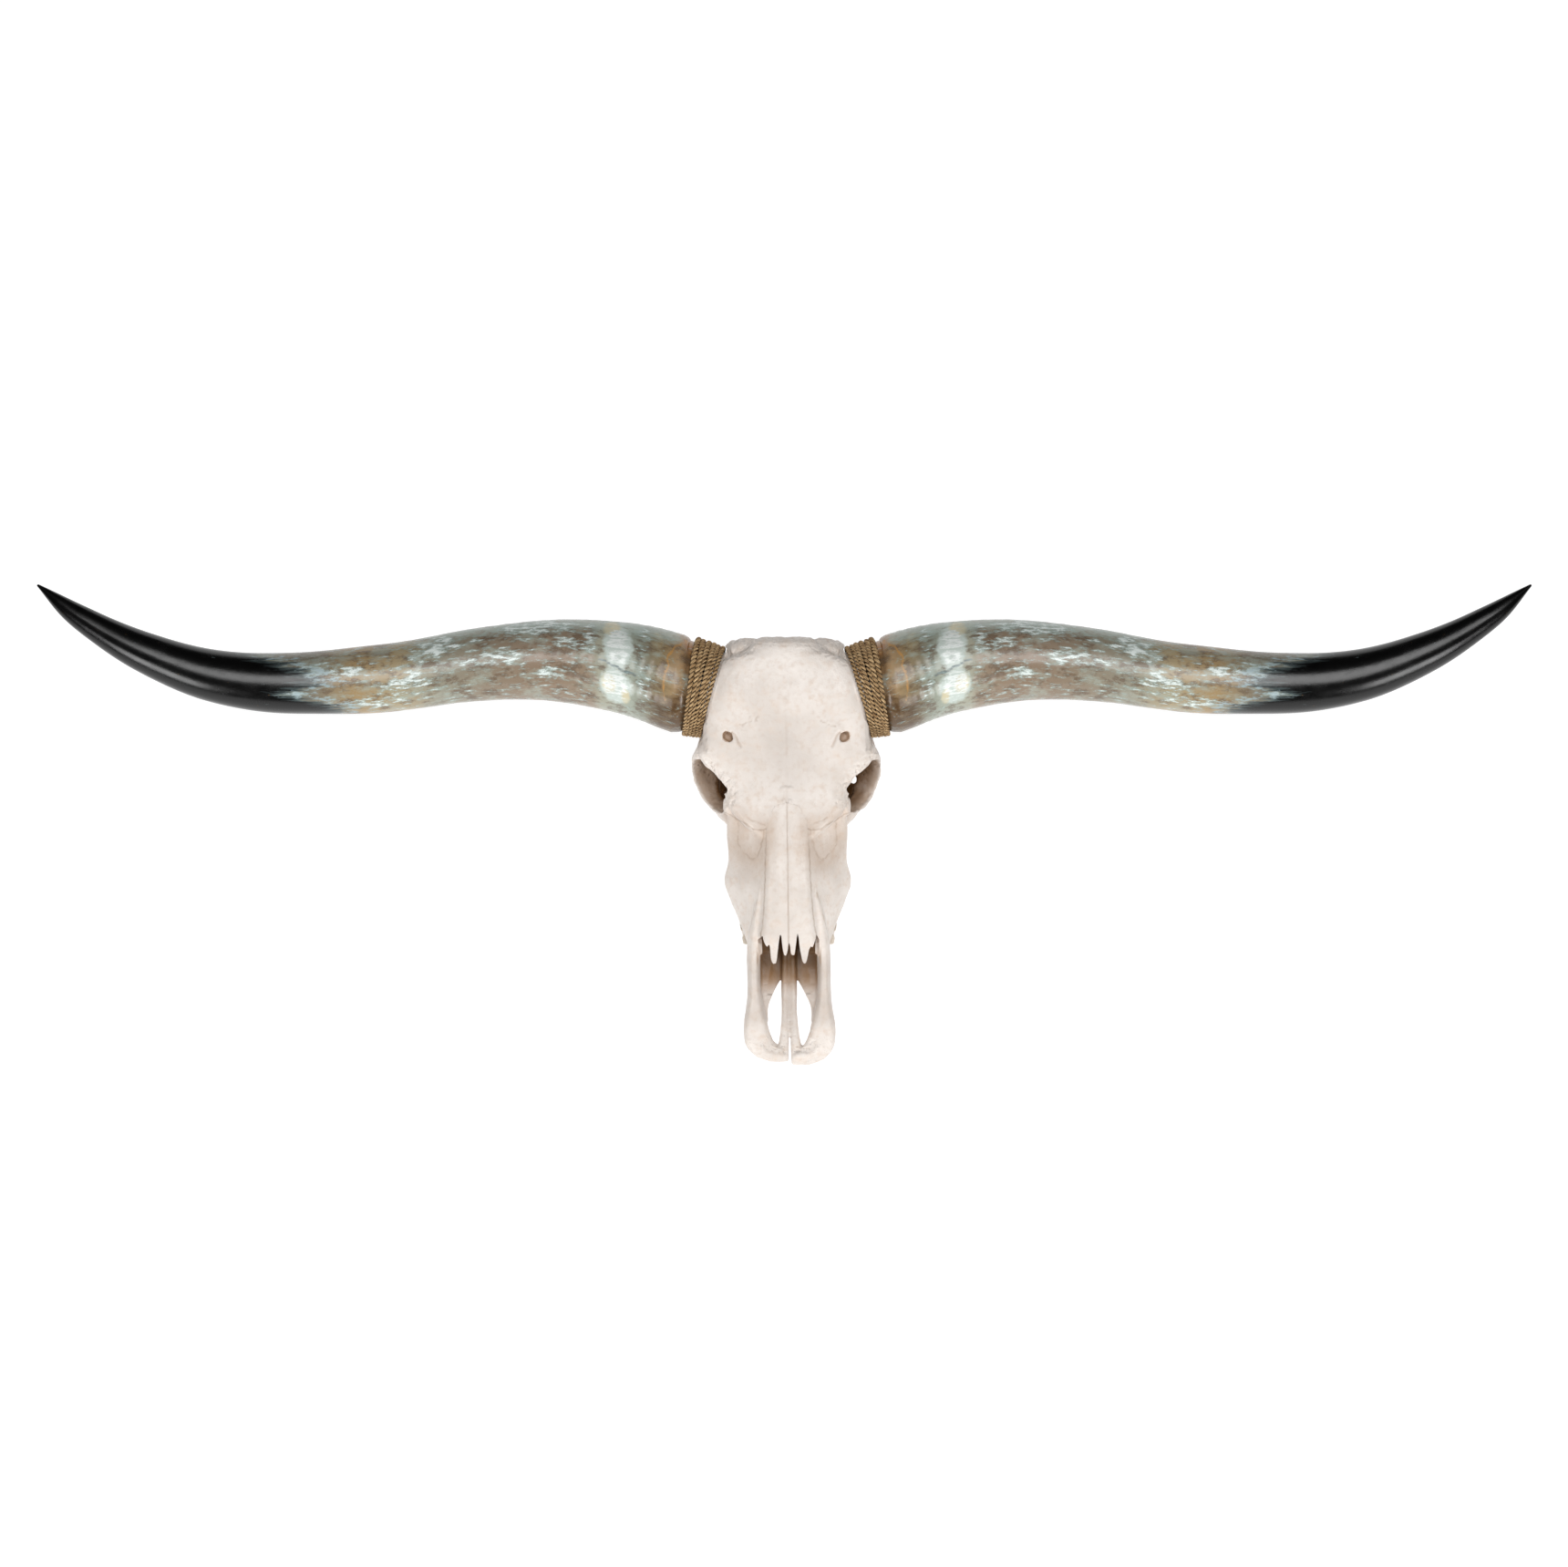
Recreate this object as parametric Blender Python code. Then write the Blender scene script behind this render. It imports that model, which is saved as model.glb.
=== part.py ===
"""Longhorn steer skull without its lower jaw, life size, resting on its cheek teeth and the two
processes behind its ears, with polished horns and rope wound round the foot of each horn.

Everything is worked out in the skull's own frame: x to the side, s back-to-front from the poll
to the nose, and z up from the plane of the forehead. One empty then tips that frame into the
pose in which the skull rests. All sizes are in metres and angles in degrees.

The bone is modelled as clay: overlapping lofts, tubes and ellipsoids that a Remesh modifier
fuses, hollows that a Boolean takes out, and thin cuts along the sutures that part the bones.
"""

import math

import bmesh
import bpy
import numpy as np
from mathutils import Euler, Matrix, Vector

# Driving sizes
POLL_HEIGHT = 0.205  # poll above the surface that the skull rests on
REST_PITCH = 15.5  # slope of the forehead at rest, falling towards the nose
FRAME_BACK = 0.2152  # poll behind the middle of the footprint
SUTURE = 0.0004  # width of the thin cut that parts two bones
SEAT_GAP = 0.0004  # clearance between a horn, its core and its rope

CLAY_VOXEL = 0.0026
HOLLOW_VOXEL = 0.0032
BONE_SHARE = 0.0165  # share of the clay's faces that the finished bone keeps
SWAY = 0.012  # lean of the whole skull to its right, in x for every step of s

HOLE_RADIUS = 0.0048
FLAT = math.radians(0.4)  # faces that bend less than this are merged

# Orbit: the eye socket, a thin-walled cup that opens to the side, tipped forward and upward
ORBIT = dict(x=0.0925, s=0.178, z=-0.047)
ORBIT_FORWARD = 26.0
ORBIT_UPWARD = 24.0
ORBIT_OUTSIDE = (
    (-0.034, 0.0260),
    (-0.022, 0.0335),
    (-0.010, 0.0370),
    (-0.002, 0.0382),
    (0.001, 0.0372),
)
ORBIT_INSIDE = (
    (0.016, 0.0390),
    (0.002, 0.0352),
    (-0.006, 0.0332),
    (-0.022, 0.0297),
    (-0.040, 0.0245),
    (-0.054, 0.0180),
    (-0.062, 0.0070),
)

# Horn: points along its middle as x, s, z, and its radius at shares of its length
HORN_LINE = (
    (0.087, 0.0700, -0.056),
    (0.128, 0.0555, -0.056),
    (0.190, 0.0370, -0.058),
    (0.280, 0.0275, -0.057),
    (0.370, 0.0330, -0.050),
    (0.470, 0.0485, -0.038),
    (0.590, 0.0560, -0.020),
    (0.680, 0.0475, -0.003),
    (0.760, 0.0190, 0.012),
    (0.830, -0.0205, 0.024),
    (0.8778, -0.0580, 0.033),
)
HORN_RADIUS = (
    (0.00, 0.0590),
    (0.06, 0.0582),
    (0.15, 0.0540),
    (0.26, 0.0478),
    (0.38, 0.0425),
    (0.52, 0.0398),
    (0.66, 0.0342),
    (0.78, 0.0275),
    (0.88, 0.0190),
    (0.95, 0.0112),
    (1.00, 0.0018),
)
HORN_RINGS = 28
HORN_SIDES = 18

# Neck that joins horn and skull, and the rope wound over it. Edges of the winding are lengths
# along the horn, as a middle and a lean that is added on the poll's side of the horn.
NECK_INNER = dict(middle=-0.0020, lean=0.0025, radius=0.0500, shift=0.0036)
NECK_OUTER = dict(middle=0.0325, lean=0.0095, radius=0.0534, shift=0.0006)
CORE_END = 0.30  # where horn and core meet, as a share of the way from inner to outer edge
CORE_COLLAR = 0.0036  # how far the core's collar stands out beyond the neck
ROPE_TURNS = 6
ROPE_THICK = 0.0066
ROPE_ROOM = 0.0020  # room left in the bone round the rope

# Cheek teeth, front to back: name, length of the crown, width of the crown
TEETH = (
    ("P2", 0.0150, 0.0140),
    ("P3", 0.0180, 0.0180),
    ("P4", 0.0170, 0.0200),
    ("M1", 0.0230, 0.0225),
    ("M2", 0.0270, 0.0245),
    ("M3", 0.0290, 0.0240),
)
TEETH_START = 0.371  # front of the first tooth
TEETH_MIDDLE = ((0.240, 0.0540), (0.300, 0.0525), (0.371, 0.0490))  # s and x of the row
CROWN_ROOT = 0.030  # how far a crown reaches up into the jaw
CROWN_GAP = 0.0006
# A crown's outline: shares of half its width and half its length
CROWN_OUTLINE = (
    (-1, -0.8),
    (-0.7, -1),
    (0.7, -1),
    (1, -0.8),
    (1, 0.8),
    (0.7, 1),
    (-0.7, 1),
    (-1, 0.8),
)

# Sutures: the lines along which the bones are parted
FACE_SUTURE = (  # x and s of the right half, between the skull's back half and the jaws
    (0.0, 0.214),
    (0.020, 0.225),
    (0.028, 0.231),
    (0.040, 0.2295),
    (0.052, 0.222),
    (0.070, 0.212),
    (0.085, 0.206),
    (0.130, 0.204),
)
JAW_SUTURE = (  # s and z, between an upper jaw and its premaxilla
    (0.262, 0.010),
    (0.283, -0.006),
    (0.338, -0.016),
    (0.378, -0.030),
    (0.425, -0.072),
    (0.445, -0.100),
)


def rest_height(s):
    """z, in the skull's frame, of the surface that the skull rests on, at s."""
    pitch = math.radians(REST_PITCH)
    return (s * math.sin(pitch) - POLL_HEIGHT) / math.cos(pitch)


def smooth_table(rows, at):
    """The columns of a table at the given places of its first column, through a cubic curve."""
    table = np.array(rows, float)
    place, value = table[:, 0], table[:, 1:]
    slope = np.gradient(value, place, axis=0)
    at = np.atleast_1d(np.asarray(at, float))
    i = np.clip(np.searchsorted(place, at) - 1, 0, len(place) - 2)
    span = (place[i + 1] - place[i])[:, None]
    u = ((at - place[i]) / span[:, 0])[:, None]
    return (
        value[i] * (2 * u**3 - 3 * u**2 + 1)
        + slope[i] * span * (u**3 - 2 * u**2 + u)
        + value[i + 1] * (3 * u**2 - 2 * u**3)
        + slope[i + 1] * span * (u**3 - u**2)
    )


def point(x, s, z):
    """A point of the skull's frame in the modelling space, where +Y runs from nose to poll."""
    return Vector((x, -s, z))


# ---------------------------------------------------------------- clay shapes


def add_rings(clay, rings):
    """A closed tube through rings of points, which all have the same count."""
    made = [[clay.verts.new(p) for p in ring] for ring in rings]
    for near, far in zip(made, made[1:]):
        for k in range(len(near)):
            n = (k + 1) % len(near)
            clay.faces.new((near[k], near[n], far[n], far[k]))
    clay.faces.new(made[0][::-1])
    clay.faces.new(made[-1])


def add_ellipsoid(clay, centre, radii, turn=(0, 0, 0)):
    """An ellipsoid round a point of the skull's frame. Radii run along x, s and z."""
    rotation = Euler([math.radians(a) for a in turn]).to_matrix().to_4x4()
    place = Matrix.Translation(point(*centre)) @ rotation @ Matrix.Diagonal((*radii, 1.0))
    bmesh.ops.create_icosphere(clay, subdivisions=4, radius=1.0, matrix=place)


def add_tube(clay, line, sizes, sides=24, steps=6):
    """A tube along a smooth line. Each size is half the width across x, half the height."""
    at = np.arange(len(line))
    fine = np.linspace(0, len(line) - 1, (len(line) - 1) * steps + 1)
    path = smooth_table(np.column_stack((at, [tuple(point(*p)) for p in line])), fine)
    size = smooth_table(np.column_stack((at, sizes)), fine)
    along = np.gradient(path, axis=0)
    rings = []
    for middle, direction, (wide, high) in zip(path, along, size):
        ahead = Vector(direction).normalized()
        level = Vector((1, 0, 0)) if abs(ahead.x) < 0.8 else Vector((0, 1, 0))
        up = ahead.cross(level).normalized() if abs(ahead.x) < 0.8 else Vector((0, 0, 1))
        side = up.cross(ahead).normalized()
        up = ahead.cross(side)
        rings.append(
            [
                Vector(middle)
                + side * (wide * math.cos(a)) + up * (high * math.sin(a))
                for a in np.linspace(0, math.tau, sides, endpoint=False)
            ]
        )
    add_rings(clay, rings)


def add_oval_loft(clay, rows, power, sides=40, rings=30):
    """A loft along s. A row is s, near x, far x, top, bottom; a section is a squarish oval."""
    s = np.linspace(rows[0][0], rows[-1][0], rings)
    angle = np.linspace(0, math.tau, sides, endpoint=False)
    across = np.sign(np.cos(angle)) * np.abs(np.cos(angle)) ** (2 / power)
    upward = np.sign(np.sin(angle)) * np.abs(np.sin(angle)) ** (2 / power)
    made = []
    for place, (near, far, top, bottom) in zip(s, smooth_table(rows, s)):
        x, wide = (near + far) / 2, abs(far - near) / 2
        z, high = (top + bottom) / 2, (top - bottom) / 2
        made.append([point(x + wide * a, place, z + high * u) for a, u in zip(across, upward)])
    add_rings(clay, made)


def centred(rows):
    """Rows of s, half width, top, bottom as rows for a loft about the midline."""
    return [(s, -wide, wide, top, bottom) for s, wide, top, bottom in rows]


def sided(rows, side):
    """Rows of s, near x, far x, top, bottom on one side of the midline."""
    return [(s, side * near, side * far, top, bottom) for s, near, far, top, bottom in rows]


def add_outline_loft(clay, rows, outline, rings=36):
    """A loft along s about the midline. A row is s, half width, top, bottom; the outline is
    half a section from the middle of its top, as shares of the half width and of the depth."""
    s = np.linspace(rows[0][0], rows[-1][0], rings)
    made = []
    for place, (wide, top, bottom) in zip(s, smooth_table(rows, s)):
        half = [(wide * across, top + (bottom - top) * down) for across, down in outline]
        mirrored = [(-x, z) for x, z in half[-2:0:-1]]
        made.append([point(x, place, z) for x, z in half + mirrored])
    add_rings(clay, made)


def add_prism(clay, outline, low, high):
    """An outline of (x, s) points, made a block between two heights."""
    add_rings(clay, [[point(x, s, z) for x, s in outline] for z in (low, high)])


def finish_clay(clay, name):
    """The clay as an object, with every shell's faces pointing out."""
    bmesh.ops.recalc_face_normals(clay, faces=clay.faces)
    bmesh.ops.triangulate(clay, faces=clay.faces)
    mesh = bpy.data.meshes.new(name)
    clay.to_mesh(mesh)
    clay.free()
    obj = bpy.data.objects.new(name, mesh)
    bpy.context.scene.collection.objects.link(obj)
    return obj


def settle(obj):
    """The object with its modifiers applied."""
    graph = bpy.context.evaluated_depsgraph_get()
    mesh = bpy.data.meshes.new_from_object(obj.evaluated_get(graph))
    obj.modifiers.clear()
    obj.data = mesh
    return obj


def fuse(obj, voxel):
    """Overlapping shells made one skin."""
    modifier = obj.modifiers.new("fuse", "REMESH")
    modifier.mode = "VOXEL"
    modifier.voxel_size = voxel
    return settle(obj)


def keep_largest(obj):
    """Drops loose scraps and the skins of sealed voids."""
    bm = bmesh.new()
    bm.from_mesh(obj.data)
    bm.faces.ensure_lookup_table()
    seen, groups = set(), []
    for face in bm.faces:
        if face.index in seen:
            continue
        group, queue = [], [face]
        seen.add(face.index)
        while queue:
            current = queue.pop()
            group.append(current)
            for edge in current.edges:
                for other in edge.link_faces:
                    if other.index not in seen:
                        seen.add(other.index)
                        queue.append(other)
        groups.append(group)
    groups.sort(key=len)
    spare = [face for group in groups[:-1] for face in group]
    bmesh.ops.delete(bm, geom=spare, context="FACES")
    bm.to_mesh(obj.data)
    bm.free()


def boolean(obj, other, operation):
    """A Boolean with another object, which is then removed."""
    modifier = obj.modifiers.new(operation.lower(), "BOOLEAN")
    modifier.object = other
    modifier.operation = operation
    modifier.use_self = True
    settle(obj)
    bpy.data.objects.remove(other)
    result = bmesh.new()
    result.from_mesh(obj.data)
    bmesh.ops.triangulate(result, faces=result.faces)
    result.to_mesh(obj.data)
    result.free()
    return obj


# ---------------------------------------------------------------- bone


def add_forehead(clay):
    """The frontal bones: a broad, thick shield from the poll to the root of the nose."""
    outline = (
        (0.00, 0.00),
        (0.30, 0.00),
        (0.60, 0.02),
        (0.80, 0.055),
        (0.92, 0.13),
        (0.99, 0.27),
        (1.00, 0.44),
        (0.95, 0.64),
        (0.84, 0.84),
        (0.60, 1.00),
        (0.30, 1.00),
        (0.00, 1.00),
    )
    add_outline_loft(
        clay,
        (
            (-0.001, 0.026, -0.015, -0.058),
            (0.004, 0.035, -0.007, -0.068),
            (0.012, 0.044, -0.002, -0.078),
            (0.019, 0.053, 0.000, -0.083),
            (0.025, 0.068, 0.001, -0.085),
            (0.035, 0.083, 0.002, -0.085),
            (0.050, 0.0915, 0.003, -0.082),
            (0.075, 0.0970, 0.004, -0.072),
            (0.100, 0.0985, 0.002, -0.056),
            (0.122, 0.0990, -0.001, -0.046),
            (0.140, 0.1045, -0.004, -0.040),
            (0.153, 0.098, -0.006, -0.038),
            (0.168, 0.084, -0.007, -0.038),
            (0.184, 0.074, -0.007, -0.038),
            (0.204, 0.069, -0.006, -0.040),
            (0.222, 0.054, -0.006, -0.042),
            (0.240, 0.034, -0.006, -0.042),
        ),
        outline,
    )


def add_face(clay):
    """The upper jaws: sections that widen from the nasal roof to the cheek, then draw in to
    the sockets of the teeth. A row is s, roof half width and z, cheek, and tooth line."""
    rows = (
        (0.200, 0.036, -0.006, 0.069, -0.034, 0.046, -0.098),
        (0.218, 0.033, -0.005, 0.0715, -0.042, 0.060, -0.124),
        (0.236, 0.029, -0.004, 0.072, -0.056, 0.066, -0.134),
        (0.268, 0.027, -0.002, 0.071, -0.069, 0.066, -0.126),
        (0.295, 0.028, -0.001, 0.076, -0.073, 0.065, -0.119),
        (0.316, 0.029, -0.001, 0.069, -0.072, 0.062, -0.113),
        (0.340, 0.030, -0.002, 0.059, -0.068, 0.058, -0.107),
        (0.360, 0.031, -0.004, 0.052, -0.062, 0.055, -0.102),
        (0.371, 0.031, -0.007, 0.048, -0.058, 0.050, -0.098),
        (0.379, 0.031, -0.012, 0.045, -0.055, 0.043, -0.092),
    )
    places = np.linspace(rows[0][0], rows[-1][0], 30)
    rings = []
    for s, (roof, roof_z, cheek, cheek_z, root, root_z) in zip(places, smooth_table(rows, places)):
        half = [
            (0.0, roof_z),
            (roof * 0.6, roof_z - 0.001),
            (roof, roof_z - 0.005),
            ((roof + cheek) / 2, (roof_z + cheek_z) / 2 + 0.004),
            (cheek * 0.97, cheek_z + 0.012),
            (cheek, cheek_z),
            (cheek * 0.96, cheek_z - 0.010),
            (root, root_z + 0.012),
            (root - 0.003, root_z),
            (root - 0.024, root_z),
            (root - 0.030, root_z + 0.016),
            (0.0, root_z + 0.024),
        ]
        mirrored = [(-x, z) for x, z in half[-2:0:-1]]
        rings.append([point(x, s, z) for x, z in half + mirrored])
    add_rings(clay, rings)


def add_nose_roof(clay):
    """The front of the nasal bones, which reach beyond the upper jaws as a thin roof."""
    rows = (
        (0.330, 0.0310, -0.002, -0.011),
        (0.360, 0.0325, -0.005, -0.014),
        (0.398, 0.0325, -0.011, -0.019),
    )
    outline = (
        (0.0, 0.0),
        (0.4, 0.05),
        (0.8, 0.25),
        (1.0, 0.70),
        (0.98, 1.0),
        (0.7, 0.85),
        (0.4, 0.75),
        (0.0, 0.7),
    )
    add_outline_loft(clay, rows, outline)


def add_skull_base(clay):
    """The braincase, the narrow body between the orbits, and the base with its condyles."""
    add_ellipsoid(clay, (0, 0.086, -0.092), (0.056, 0.072, 0.056))
    add_oval_loft(
        clay,
        centred(
            (
                (0.100, 0.046, -0.030, -0.140),
                (0.135, 0.036, -0.025, -0.134),
                (0.170, 0.030, -0.020, -0.126),
                (0.205, 0.030, -0.020, -0.122),
                (0.245, 0.036, -0.020, -0.112),
            )
        ),
        power=2.6,
    )
    add_tube(
        clay,
        ((0, 0.030, -0.158), (0, 0.065, -0.156), (0, 0.105, -0.146), (0, 0.150, -0.128)),
        ((0.021, 0.012), (0.019, 0.013), (0.015, 0.014), (0.014, 0.014)),
    )
    # The nape: a broad upright plate below the poll, from ear to ear
    rings = []
    for z, wide, back, front in (
        (-0.016, 0.052, 0.006, 0.060),
        (-0.040, 0.070, 0.006, 0.064),
        (-0.066, 0.086, 0.010, 0.062),
        (-0.092, 0.093, 0.016, 0.062),
        (-0.116, 0.088, 0.022, 0.064),
        (-0.136, 0.070, 0.026, 0.066),
        (-0.154, 0.050, 0.028, 0.068),
        (-0.166, 0.030, 0.034, 0.064),
    ):
        middle, deep = (back + front) / 2, (front - back) / 2
        rings.append(
            [
                point(
                    wide * math.copysign(abs(math.cos(a)) ** 0.8, math.cos(a)),
                    middle + deep * math.copysign(abs(math.sin(a)) ** 0.6, math.sin(a)),
                    z,
                )
                for a in np.linspace(0, math.tau, 36, endpoint=False)
            ]
        )
    add_rings(clay, rings)
    for side in (-1, 1):
        # Occipital condyle, beside the great foramen
        add_ellipsoid(clay, (side * 0.029, 0.030, -0.150), (0.018, 0.027, 0.023), (20, 0, -side * 20))
        # Hind corner between the poll and the horn's core
        add_tube(
            clay,
            (
                (side * 0.028, 0.016, -0.036),
                (side * 0.050, 0.0190, -0.037),
                (side * 0.066, 0.027, -0.045),
            ),
            ((0.010, 0.012), (0.0135, 0.020), (0.0125, 0.022)),
        )
        # The jugular process, behind the ear, on which the back of the skull rests
        add_tube(
            clay,
            (
                (side * 0.062, 0.044, -0.120),
                (side * 0.062, 0.046, -0.150),
                (side * 0.058, 0.050, -0.180),
                (side * 0.052, 0.053, -0.206),
            ),
            ((0.017, 0.018), (0.012, 0.017), (0.008, 0.013), (0.006, 0.009)),
        )
        add_ellipsoid(clay, (side * 0.015, 0.066, -0.166), (0.010, 0.014, 0.009))
        add_ellipsoid(clay, (side * 0.040, 0.080, -0.154), (0.012, 0.018, 0.024), (12, 0, 0))
        add_tube(
            clay,
            ((side * 0.046, 0.084, -0.124), (side * 0.064, 0.082, -0.122), (side * 0.078, 0.078, -0.119)),
            ((0.013, 0.013), (0.010, 0.010), (0.009, 0.009)),
        )
        # Palatine and pterygoid plates, which wall the hind nostrils
        add_tube(
            clay,
            (
                (side * 0.022, 0.130, -0.128),
                (side * 0.024, 0.160, -0.132),
                (side * 0.026, 0.195, -0.126),
                (side * 0.030, 0.240, -0.116),
            ),
            ((0.0045, 0.010), (0.0045, 0.020), (0.0045, 0.022), (0.006, 0.018)),
        )


def orbit_frame(side):
    """The orbit's centre and the turn that points its Z out of the socket."""
    forward, upward = math.radians(ORBIT_FORWARD), math.radians(ORBIT_UPWARD)
    out = Vector(
        (
            side * math.cos(forward) * math.cos(upward),
            -math.sin(forward) * math.cos(upward),
            math.sin(upward),
        )
    )
    centre = point(side * ORBIT["x"], ORBIT["s"], ORBIT["z"])
    return centre, out.to_track_quat("Z", "Y").to_matrix().to_4x4()


def cup_rings(side, profile, sides=40):
    """Rings round the orbit's axis, from rows of depth along it and radius."""
    centre, turn = orbit_frame(side)
    place = Matrix.Translation(centre) @ turn
    return [
        [
            place @ Vector((radius * math.cos(a), radius * math.sin(a), depth))
            for a in np.linspace(0, math.tau, sides, endpoint=False)
        ]
        for depth, radius in profile
    ]


def add_orbits(clay):
    """The bony rings round the eyes, the cheek bones under them and the arches behind."""
    for side in (-1, 1):
        add_rings(clay, cup_rings(side, ORBIT_OUTSIDE))
        # Cheek bone: a plate below and in front of the ring
        add_tube(
            clay,
            (
                (side * 0.102, 0.150, -0.078),
                (side * 0.096, 0.180, -0.086),
                (side * 0.077, 0.205, -0.084),
                (side * 0.058, 0.226, -0.078),
            ),
            ((0.006, 0.009), (0.008, 0.012), (0.010, 0.018), (0.010, 0.018)),
        )
        # Zygomatic arch, back to the joint of the lower jaw
        add_tube(
            clay,
            (
                (side * 0.078, 0.096, -0.119),
                (side * 0.093, 0.110, -0.116),
                (side * 0.101, 0.128, -0.104),
                (side * 0.104, 0.146, -0.088),
                (side * 0.102, 0.166, -0.080),
            ),
            ((0.010, 0.011), (0.007, 0.011), (0.006, 0.011), (0.006, 0.011), (0.006, 0.010)),
        )
        add_ellipsoid(clay, (side * 0.068, 0.102, -0.119), (0.026, 0.017, 0.009))
        # Floor under the socket: the swollen hind end of the upper jaw
        add_ellipsoid(clay, (side * 0.060, 0.184, -0.104), (0.034, 0.044, 0.013), (0, side * -8, 0))
        # Frontal process, from the forehead's edge down the back of the ring
        add_tube(
            clay,
            (
                (side * 0.088, 0.128, -0.024),
                (side * 0.101, 0.140, -0.034),
                (side * 0.107, 0.148, -0.060),
            ),
            ((0.014, 0.012), (0.009, 0.009), (0.007, 0.009)),
        )


def horn_curve():
    """The horn's length and, at even steps along it, its middle line, heading and radius."""
    at = np.arange(len(HORN_LINE))
    fine = smooth_table(np.column_stack((at, HORN_LINE)), np.linspace(0, at[-1], 800))
    length = np.concatenate(([0], np.cumsum(np.linalg.norm(np.diff(fine, axis=0), axis=1))))
    along = np.linspace(0, length[-1], 400)
    line = np.column_stack([np.interp(along, length, fine[:, k]) for k in range(3)])
    heading = np.gradient(line, along, axis=0)
    radius = smooth_table(HORN_RADIUS, along / length[-1])[:, 0]
    return along, line, heading, radius


def horn_ring(curve, side, middle, lean=0.0, radius=None, shift=0.0):
    """A ring round the horn's line at a length along it. On the poll's side it leans towards
    the tip, and it may be shifted to that side. A radius of None is the horn's own."""
    along, line, heading, own = curve
    ring = []
    for angle in np.linspace(0, math.tau, HORN_SIDES, endpoint=False):
        at = middle + lean * math.cos(angle)
        ahead = Vector([np.interp(at, along, heading[:, k]) for k in range(3)]).normalized()
        spot = Vector([np.interp(at, along, line[:, k]) for k in range(3)]) + ahead * min(at, 0)
        up = (Vector((0, 0, 1)) - ahead * ahead.z).normalized()
        poll = up.cross(ahead)
        poll = -poll if poll.y > 0 else poll
        reach = np.interp(at, along, own) if radius is None else radius
        spot += poll * (shift + reach * math.cos(angle)) + up * (reach * math.sin(angle))
        ring.append(point(side * spot.x, spot.y, spot.z))
    return ring


def neck_ring(curve, side, share, raised=0.0, moved=0.0):
    """A ring on the neck, at a share of the way from the winding's inner to its outer edge."""
    size = {key: NECK_INNER[key] + (NECK_OUTER[key] - NECK_INNER[key]) * share for key in NECK_INNER}
    return horn_ring(
        curve, side, size["middle"] + moved, size["lean"], size["radius"] + raised, size["shift"]
    )


def add_horn_cores(clay):
    """The bony pegs on the forehead's hind corners, on which the horns are seated."""
    curve = horn_curve()
    for side in (-1, 1):
        rings = [
            horn_ring(curve, side, at, 0, radius, 0.002)
            for at, radius in ((-0.052, 0.032), (-0.030, 0.043))
        ]
        rings += [neck_ring(curve, side, share, CORE_COLLAR) for share in (-0.4, 0.0, 0.6)]
        add_rings(clay, rings)


def horn_seat(side):
    """The room that a horn, its neck and its rope take up, as a cutter for the bone."""
    curve = horn_curve()
    clay = bmesh.new()
    add_rings(
        clay,
        [
            neck_ring(curve, side, CORE_END),
            neck_ring(curve, side, 0.0, 0.0, -SEAT_GAP),
            neck_ring(curve, side, 0.0, ROPE_THICK + ROPE_ROOM, -SEAT_GAP),
            neck_ring(curve, side, 2.2, ROPE_THICK + ROPE_ROOM),
        ],
    )
    return finish_clay(clay, "seat")


def make_horn(side):
    """A horn: a neck under the rope, a flared foot, and the long bend out to the tip."""
    curve = horn_curve()
    clay = bmesh.new()
    end = curve[0][-1]
    middle, lean = NECK_OUTER["middle"], NECK_OUTER["lean"]
    rings = [
        neck_ring(curve, side, CORE_END, 0.0, SEAT_GAP),
        neck_ring(curve, side, 1.0, 0.0, SEAT_GAP),
        neck_ring(curve, side, 1.0, 0.0034, SEAT_GAP + 0.0040),
        horn_ring(curve, side, middle + 0.0110, lean * 0.9),
    ]
    first = middle + 0.030
    rings += [
        horn_ring(curve, side, first + (end - first) * share, lean * 0.7 * (1 - share) ** 6)
        for share in np.linspace(0, 1, HORN_RINGS) ** 0.92
    ]
    add_rings(clay, rings)
    return finish_clay(clay, "horn_left" if side < 0 else "horn_right")


def make_rope_wrap(side):
    """The rope's turns side by side, as one sleeve with a ridge for every turn."""
    curve = horn_curve()
    clay = bmesh.new()
    valley = ROPE_THICK * 0.6
    profile = [(0.0, SEAT_GAP), (0.0, valley)]
    for turn in range(ROPE_TURNS):
        for part, height in ((0.3, 0.95), (0.7, 0.95), (1.0, 0.6)):
            profile.append(((turn + part) / ROPE_TURNS, ROPE_THICK * height))
    profile.append((1.0, SEAT_GAP))
    made = [
        [clay.verts.new(p) for p in neck_ring(curve, side, share, raised)] for share, raised in profile
    ]
    for near, far in zip(made, made[1:] + made[:1]):
        for k in range(HORN_SIDES):
            n = (k + 1) % HORN_SIDES
            clay.faces.new((near[k], near[n], far[n], far[k]))
    return finish_clay(clay, "rope_wrap_left" if side < 0 else "rope_wrap_right")


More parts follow.
